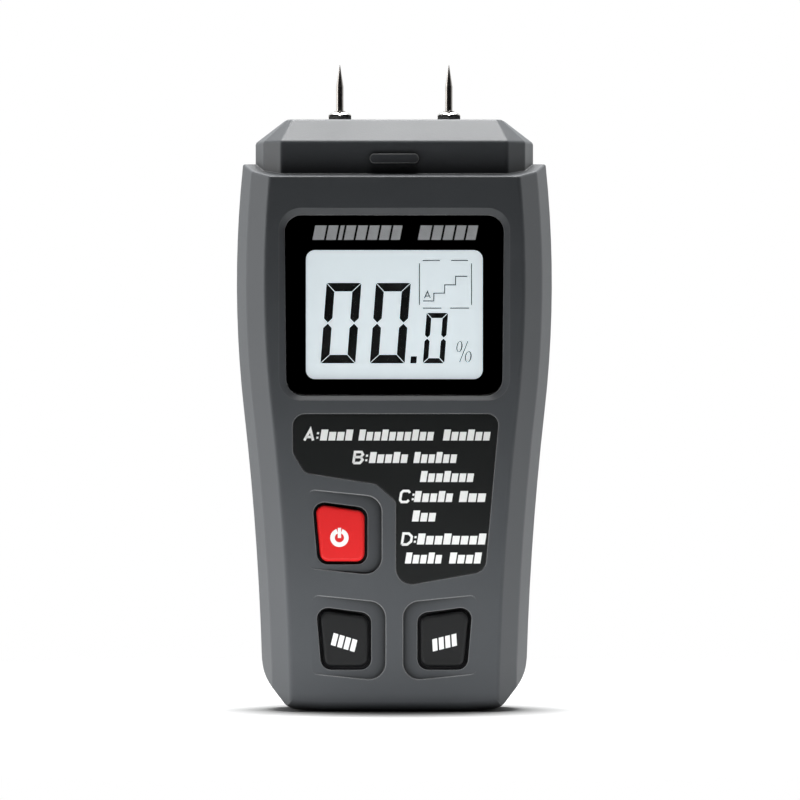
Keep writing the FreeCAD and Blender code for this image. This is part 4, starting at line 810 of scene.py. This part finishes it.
class METER_OT_key_marks(bpy.types.Operator):
    """White marks on the three keys: the power symbol, and four blocks on each black key."""

    bl_idname = "meter.key_marks"
    bl_label = "Key marks"

    POWER_SHIFT, POWER_LIFT = -0.18, -0.9  # symbol from the middle of its key
    POWER_OUTER = 1.84
    POWER_INNER = 0.92
    POWER_GAP = 38.0  # opening at the top of the ring, in degrees
    POWER_BAR = 0.66
    POWER_BAR_RISES = (1.98, 0.9, -0.05)  # points of the bar, top to foot
    MARKS = (("mode_key", "mode_button", -17.0), ("hold_key", "hold_button", 14.0))  # degrees
    MARK_LIFT = -0.75
    MARK_FOLLOW = 0.55  # how much of the turn the blocks' sides take
    MARK_LEAN = 0.08
    BLOCKS = 4
    BLOCK_WIDTH = 1.0
    BLOCK_GAP = 0.32
    BLOCK_HEIGHT = 2.5

    def power_symbol(self, ink):
        low, high = box_mm("power_key")
        x, z = (low.x + high.x) / 2 + self.POWER_SHIFT, (low.z + high.z) / 2 + self.POWER_LIFT
        mesh = bmesh.new()
        start, sweep = 90 + self.POWER_GAP / 2, 360 - self.POWER_GAP
        outer, inner = [ellipse((x, z), radius, radius, start, sweep)
                        for radius in (self.POWER_OUTER, self.POWER_INNER)]
        add_ring(mesh, outer, inner, 0.0, closed=False)
        add_stroke(mesh, [(x, z + up) for up in self.POWER_BAR_RISES], self.POWER_BAR, 0.0)
        settle_on(mesh, "power_key")
        make_piece("power_symbol", mesh, ink, "power_button")

    def block_mark(self, ink, key, body, tilt):
        low, high = box_mm(key)
        centre = Vector(((low.x + high.x) / 2, (low.z + high.z) / 2 + self.MARK_LIFT))
        turn = math.radians(tilt)
        total = self.BLOCKS * self.BLOCK_WIDTH + (self.BLOCKS - 1) * self.BLOCK_GAP
        mesh = bmesh.new()
        for i in range(self.BLOCKS):
            left = -total / 2 + i * (self.BLOCK_WIDTH + self.BLOCK_GAP)
            half = self.BLOCK_HEIGHT / 2
            for foot, top in ((-half, 0.0), (0.0, half)):
                block = rectangle(left, foot, left + self.BLOCK_WIDTH, top)
                placed = [(centre.x + x * math.cos(turn)
                           - z * math.sin(turn) * self.MARK_FOLLOW + z * self.MARK_LEAN,
                           centre.y + x * math.sin(turn) + z * math.cos(turn)) for x, z in block]
                add_plate(mesh, placed, 0.0)
        settle_on(mesh, key)
        make_piece(f"{body}_mark", mesh, ink, body)

    def execute(self, context):
        colours = context.scene.meter_colours
        ink = moulded("key_ink", colours.ink, 0.42, tone=0.2, scale=3500.0, height=0.003 * MM)
        self.power_symbol(ink)
        for key, body, tilt in self.MARKS:
            self.block_mark(ink, key, body, tilt)
        return {"FINISHED"}


class METER_OT_back_print(bpy.types.Operator):
    """Blank rows and frame printed on the rear label."""

    bl_idname = "meter.back_print"
    bl_label = "Rear label printing"

    ROWS = ((88.6, 11.0), (85.4, 22.0), (82.2, 16.0), (79.0, 25.0), (75.8, 19.0))  # foot, length
    LEFT = 14.4
    ROW_HEIGHT = 1.2
    MARGIN = 1.0
    FRAME_LINE = 0.25
    INK = (0.02, 0.021, 0.023, 1)

    def execute(self, context):
        ink = moulded("rear_ink", self.INK, 0.5, tone=0.25, scale=3500.0, height=0.002 * MM)
        low, high = box_mm("back_label")
        y_front = high.y  # the printing lies on the label's outer face
        mesh = bmesh.new()
        for foot, length in self.ROWS:
            row = rectangle(self.LEFT - length, foot, self.LEFT, foot + self.ROW_HEIGHT)
            add_plate(mesh, row, y_front)
        edges = [rectangle(low.x + inset, low.z + inset, high.x - inset, high.z - inset)
                 for inset in (self.MARGIN, self.MARGIN + self.FRAME_LINE)]
        add_ring(mesh, *edges, y_front)
        make_piece("rear_label_rows", mesh, ink, "case")
        return {"FINISHED"}


# ---------------------------------------------------------------- finishes


class METER_OT_case_finish(bpy.types.Operator):
    """Textured grey plastic on both shells and the door, and the finishes seen from the front."""

    bl_idname = "meter.case_finish"
    bl_label = "Case finish"

    DOOR_SHADE = 0.96  # the door's colour, of the shells'
    # grain and tone of the case, plus painted shade darkening its recesses
    CASE_GRAIN_AND_SHADE = {"tone": 0.22, "gloss": 0.16, "height": 0.014 * MM, "hollow": 1.8}
    # key finish, with a painted highlight on the arrises
    KEY_SILK_AND_HIGHLIGHT = {"scale": 1500.0, "gloss": 0.2, "height": 0.010 * MM, "edge": 1.2,
                "edge_radius": 0.2 * MM}

    def execute(self, context):
        colours = context.scene.meter_colours
        door_grey = (*[c * self.DOOR_SHADE for c in colours.case[:3]], 1)
        # The paler arrises of the shells, door, label, keys and rear label are painted highlight;
        # the darker recesses of the shells and door are painted shade.
        shell = moulded("case_plastic", colours.case, 0.5, edge=3.6, edge_radius=0.3 * MM,
                        edge_highlight_lift=0.8, **self.CASE_GRAIN_AND_SHADE)
        door = moulded("door_plastic", door_grey, 0.48, edge=2.4, **self.CASE_GRAIN_AND_SHADE)
        dress({
            "case_grey": shell,
            "door_grey": door,
            "clear_lens": clear_lens(),
            "mask_black": moulded("mask_print", (0.0035, 0.0035, 0.004, 1), 0.3, tone=0.3,
                                  height=0.001 * MM),
            "lcd_pale": lit_display(colours.display),
            "label_black": moulded("label_film", colours.label, 0.42, tone=0.35, scale=1800.0,
                                   gloss=0.2, height=0.006 * MM, edge=2.0, edge_radius=0.15 * MM),
            "key_red": moulded("key_red_silk", colours.red_key, 0.46, tone=0.18, edge_highlight_lift=0.12,
                               **self.KEY_SILK_AND_HIGHLIGHT),
            "key_black": moulded("key_black_silk", colours.black_key, 0.44, tone=0.3,
                                 edge_highlight_lift=0.15, **self.KEY_SILK_AND_HIGHLIGHT),
            "back_label": moulded("rear_film", (0.42, 0.43, 0.44, 1), 0.34, tone=0.15, scale=1800.0,
                                  gloss=0.2, height=0.004 * MM, edge=1.5, edge_radius=0.1 * MM),
        })
        return {"FINISHED"}


class METER_OT_metal_finish(bpy.types.Operator):
    """Steel pins, nickel nuts, brass sockets, tinned lugs, crystal can, terminals and screws."""

    bl_idname = "meter.metal_finish"
    bl_label = "Metal finishes"

    def execute(self, context):
        dress({
            "pin_steel": metal("pin_hard_steel", (0.46, 0.43, 0.40, 1), 0.3, tone=0.35),
            "nut_nickel": metal("nut_bright_nickel", (0.72, 0.70, 0.67, 1), 0.2, tone=0.12),
            "socket_brass": metal("socket_turned_brass", (0.72, 0.52, 0.22, 1), 0.26),
            "lug_tin": metal("lug_tinned", (0.66, 0.66, 0.62, 1), 0.38,
                             stretch=(1500.0, 1500.0, 1500.0)),
            "can_metal": metal("crystal_can", (0.68, 0.68, 0.67, 1), 0.3,
                               stretch=(4000.0, 400.0, 400.0)),
            "terminal_steel": metal("terminal_plate", (0.70, 0.70, 0.68, 1), 0.28,
                                    stretch=(900.0, 5000.0, 900.0)),
            "screw_steel": metal("screw_blackened", (0.075, 0.075, 0.08, 1), 0.42,
                                 stretch=(700.0, 4000.0, 700.0)),
        })
        return {"FINISHED"}


class METER_OT_inner_finish(bpy.types.Operator):
    """Finishes of the parts inside: board, display stack, switches, leads, battery and foam."""

    bl_idname = "meter.inner_finish"
    bl_label = "Inner finishes"

    def execute(self, context):
        dress({
            "white_plastic": moulded("frame_white", (0.80, 0.80, 0.77, 1), 0.42),
            "contact_rubber": moulded("contact_pink_rubber", (0.50, 0.24, 0.26, 1), 0.8,
                                      scale=6000.0),
            "light_guide": moulded("light_guide_frost", (0.82, 0.86, 0.88, 1), 0.55, scale=5000.0),
            "inner_black": moulded("carrier_black", (0.006, 0.006, 0.007, 1), 0.6, tone=0.3),
            "board_green": circuit_finish(),
            "chip_black": moulded("chip_epoxy", (0.018, 0.018, 0.019, 1), 0.55, tone=0.3,
                                  scale=5000.0),
            "capacitor_sleeve": moulded("capacitor_film", (0.02, 0.04, 0.11, 1), 0.3, scale=1500.0),
            "resistor_body": moulded("resistor_glaze", (0.03, 0.03, 0.035, 1), 0.25, scale=4000.0),
            "lead_red": moulded("lead_red_jacket", (0.50, 0.012, 0.012, 1), 0.42, scale=4000.0),
            "lead_black": moulded("lead_black_jacket", (0.012, 0.012, 0.013, 1), 0.42,
                                  scale=4000.0),
            "battery_wrap": battery_finish(),
            "snap_black": moulded("snap_vinyl", (0.016, 0.016, 0.017, 1), 0.45, scale=1200.0),
            "foam_grey": foam_finish(),
        })
        return {"FINISHED"}


# ---------------------------------------------------------------- studio


def area_light(name, place, aim, size_x, size_y, power):
    """A soft white rectangular light that the camera doesn't see."""
    data = bpy.data.lights.new(name, "AREA")
    data.shape = "RECTANGLE"
    data.size = size_x
    data.size_y = size_y
    data.energy = power
    lamp = bpy.data.objects.new(name, data)
    lamp.location = place
    lamp.rotation_euler = (Vector(aim) - Vector(place)).to_track_quat("-Z", "Y").to_euler()
    lamp.visible_camera = False
    bpy.context.scene.collection.objects.link(lamp)
    return lamp


class METER_OT_stage(bpy.types.Operator):
    """Pale floor, softboxes and a long-lens camera straight at the front."""

    bl_idname = "meter.stage"
    bl_label = "Studio"

    FLOOR_HALF = 4.0
    FLOOR_NEAR = 0.10  # the floor fades out between these distances from its middle
    FLOOR_FAR = 0.32
    AIM = (0.00114, 0.0624)  # x and z of the view's middle
    SENSOR = 36.0  # millimetres
    CLIP = (0.05, 50.0)
    SHADE_HALF = (0.040, 0.052)  # painted contact shadow on the floor round the base
    SHADE_CORE = 0.30  # share of it that is darkest
    SHADE_DARK = 0.06
    AIR_FRONT = 0.0  # light of the dark side behind the camera
    AIR_BACK = 1.0  # light of the white sweep behind the meter
    AIR_BLEND = 0.4  # half-width of the change from one to the other
    AIR_TINT = (0.97, 0.99, 1, 1)
    LIGHTS = (  # name, place, aim, two sizes, and the setting that holds its power
        ("top_softbox", (0, 0.24, 0.75), (0, 0.02, 0.09), 0.55, 0.5, "top_power"),
        ("brow_softbox", (0, -0.08, 0.8), (0, -0.02, 0.08), 0.4, 0.07, "brow_power"),
        ("left_softbox", (-0.6, 0.0, 0.16), (0, 0, 0.06), 0.3, 0.5, "side_power"),
        ("low_strip", (-0.01, -0.07, 0.006), (0, -0.015, 0.008), 0.12, 0.008, "low_power"))
    UNMIRRORED = "low_strip"  # it lights the foot of the case without showing as a reflection

    def floor(self, colour):
        made, tree, shader = blank("studio_floor")
        place = add(tree, "ShaderNodeTexCoord")
        grain = add(tree, "ShaderNodeTexNoise", {"Scale": 60.0, "Detail": 4.0})
        tone = add(tree, "ShaderNodeMapRange", {"To Min": 0.97, "To Max": 1.0})
        shade = add(tree, "ShaderNodeVectorMath", operation="SCALE")
        shade.inputs[0].default_value = colour[:3]
        squash = add(tree, "ShaderNodeVectorMath", operation="DIVIDE")
        squash.inputs[1].default_value = (*self.SHADE_HALF, 1.0)
        away = add(tree, "ShaderNodeVectorMath", operation="LENGTH")
        # painted contact shadow: the floor's colour darkens towards the base
        soft = add(tree, "ShaderNodeMapRange",
                   {"From Min": self.SHADE_CORE, "From Max": 1.0,
                    "To Min": self.SHADE_DARK, "To Max": 1.0},
                   interpolation_type="SMOOTHSTEP")
        painted_contact_shadow = add(tree, "ShaderNodeVectorMath", operation="SCALE")
        reach = add(tree, "ShaderNodeVectorMath", operation="LENGTH")
        fade = add(tree, "ShaderNodeMapRange",
                   {"From Min": self.FLOOR_NEAR, "From Max": self.FLOOR_FAR,
                    "To Min": 1.0, "To Max": 0.0},
                   interpolation_type="SMOOTHSTEP")
        join(tree,
             (place.outputs["Object"], grain.inputs["Vector"]),
             (grain.outputs["Fac"], tone.inputs["Value"]),
             (tone.outputs["Result"], shade.inputs["Scale"]),
             (place.outputs["Object"], squash.inputs[0]),
             (squash.outputs[0], away.inputs[0]),
             (away.outputs["Value"], soft.inputs["Value"]),
             (shade.outputs[0], painted_contact_shadow.inputs[0]),
             (soft.outputs["Result"], painted_contact_shadow.inputs["Scale"]),
             (painted_contact_shadow.outputs[0], shader.inputs["Base Color"]),
             (place.outputs["Object"], reach.inputs[0]),
             (reach.outputs["Value"], fade.inputs["Value"]),
             (fade.outputs["Result"], shader.inputs["Alpha"]))
        shader.inputs["Roughness"].default_value = 0.9
        shader.inputs["Specular IOR Level"].default_value = 0.1
        mesh = bmesh.new()
        half = self.FLOOR_HALF
        mesh.faces.new([mesh.verts.new((x, y, 0)) for x, y in rectangle(-half, -half, half, half)])
        data = bpy.data.meshes.new("studio_floor")
        mesh.to_mesh(data)
        mesh.free()
        data.materials.append(made)
        sheet = bpy.data.objects.new("studio_floor", data)
        bpy.context.scene.collection.objects.link(sheet)

    def world(self):
        world = bpy.data.worlds.new("studio_air")
        world.use_nodes = True
        tree = world.node_tree
        tree.nodes.clear()
        seen = add(tree, "ShaderNodeBackground", {"Color": (1, 1, 1, 1), "Strength": 1.0})
        fill = add(tree, "ShaderNodeBackground", {"Color": self.AIR_TINT})
        way = add(tree, "ShaderNodeTexCoord")
        part = add(tree, "ShaderNodeSeparateXYZ")
        sweep = add(tree, "ShaderNodeMapRange",
                    {"From Min": -self.AIR_BLEND, "From Max": self.AIR_BLEND,
                     "To Min": self.AIR_FRONT, "To Max": self.AIR_BACK},
                    interpolation_type="SMOOTHSTEP")
        path = add(tree, "ShaderNodeLightPath")
        pick = add(tree, "ShaderNodeMixShader")
        out = add(tree, "ShaderNodeOutputWorld")
        join(tree,
             (way.outputs["Generated"], part.inputs[0]),
             (part.outputs["Y"], sweep.inputs["Value"]),
             (sweep.outputs["Result"], fill.inputs["Strength"]),
             (path.outputs["Is Camera Ray"], pick.inputs["Fac"]),
             (fill.outputs[0], pick.inputs[1]),
             (seen.outputs[0], pick.inputs[2]),
             (pick.outputs[0], out.inputs["Surface"]))
        bpy.context.scene.world = world

    def camera(self, settings, face):
        data = bpy.data.cameras.new("long_lens")
        data.sensor_width = self.SENSOR
        data.lens = data.sensor_width * settings.camera_distance / settings.view_width
        data.clip_start, data.clip_end = self.CLIP
        eye = bpy.data.objects.new("long_lens", data)
        eye.location = (self.AIM[0], face - settings.camera_distance, self.AIM[1])
        eye.rotation_euler = (math.radians(90), 0, 0)
        bpy.context.scene.collection.objects.link(eye)
        bpy.context.scene.camera = eye

    def execute(self, context):
        settings = context.scene.meter_stage
        self.floor(settings.floor)
        self.world()
        for name, place, aim, size_x, size_y, power in self.LIGHTS:
            lamp = area_light(name, place, aim, size_x, size_y, getattr(settings, power))
            lamp.visible_glossy = name != self.UNMIRRORED
        self.camera(settings, CAD_BOX[0].y)
        context.scene.view_settings.view_transform = "Standard"
        return {"FINISHED"}


class METER_PT_panel(bpy.types.Panel):
    """Lists the meter's pieces and settings."""

    bl_idname = "METER_PT_panel"
    bl_label = "Moisture meter"
    bl_space_type = "VIEW_3D"
    bl_region_type = "UI"
    bl_category = "Meter"

    def draw(self, context):
        for operator in PIECES:
            self.layout.operator(operator.bl_idname)
        for name, kind in SETTINGS.items():
            for key in kind.__annotations__:
                self.layout.prop(getattr(context.scene, name), key)


PIECES = (METER_OT_case_finish, METER_OT_metal_finish, METER_OT_inner_finish, METER_OT_display,
          METER_OT_heading, METER_OT_label_print, METER_OT_key_marks, METER_OT_back_print,
          METER_OT_stage)
SETTINGS = {"meter_colours": METER_PG_colours, "meter_display": METER_PG_display,
            "meter_stage": METER_PG_stage}


def register():
    for kind in (*SETTINGS.values(), *PIECES, METER_PT_panel):
        bpy.utils.register_class(kind)
    for name, kind in SETTINGS.items():
        setattr(bpy.types.Scene, name, bpy.props.PointerProperty(type=kind))


def unregister():
    for name in SETTINGS:
        delattr(bpy.types.Scene, name)
    for kind in (METER_PT_panel, *reversed(PIECES), *SETTINGS.values()):
        bpy.utils.unregister_class(kind)


def main():
    register()
    for operator in PIECES:
        family, name = operator.bl_idname.split(".")
        getattr(getattr(bpy.ops, family), name)()
    bpy.context.view_layer.update()


if __name__ == "__main__":
    main()
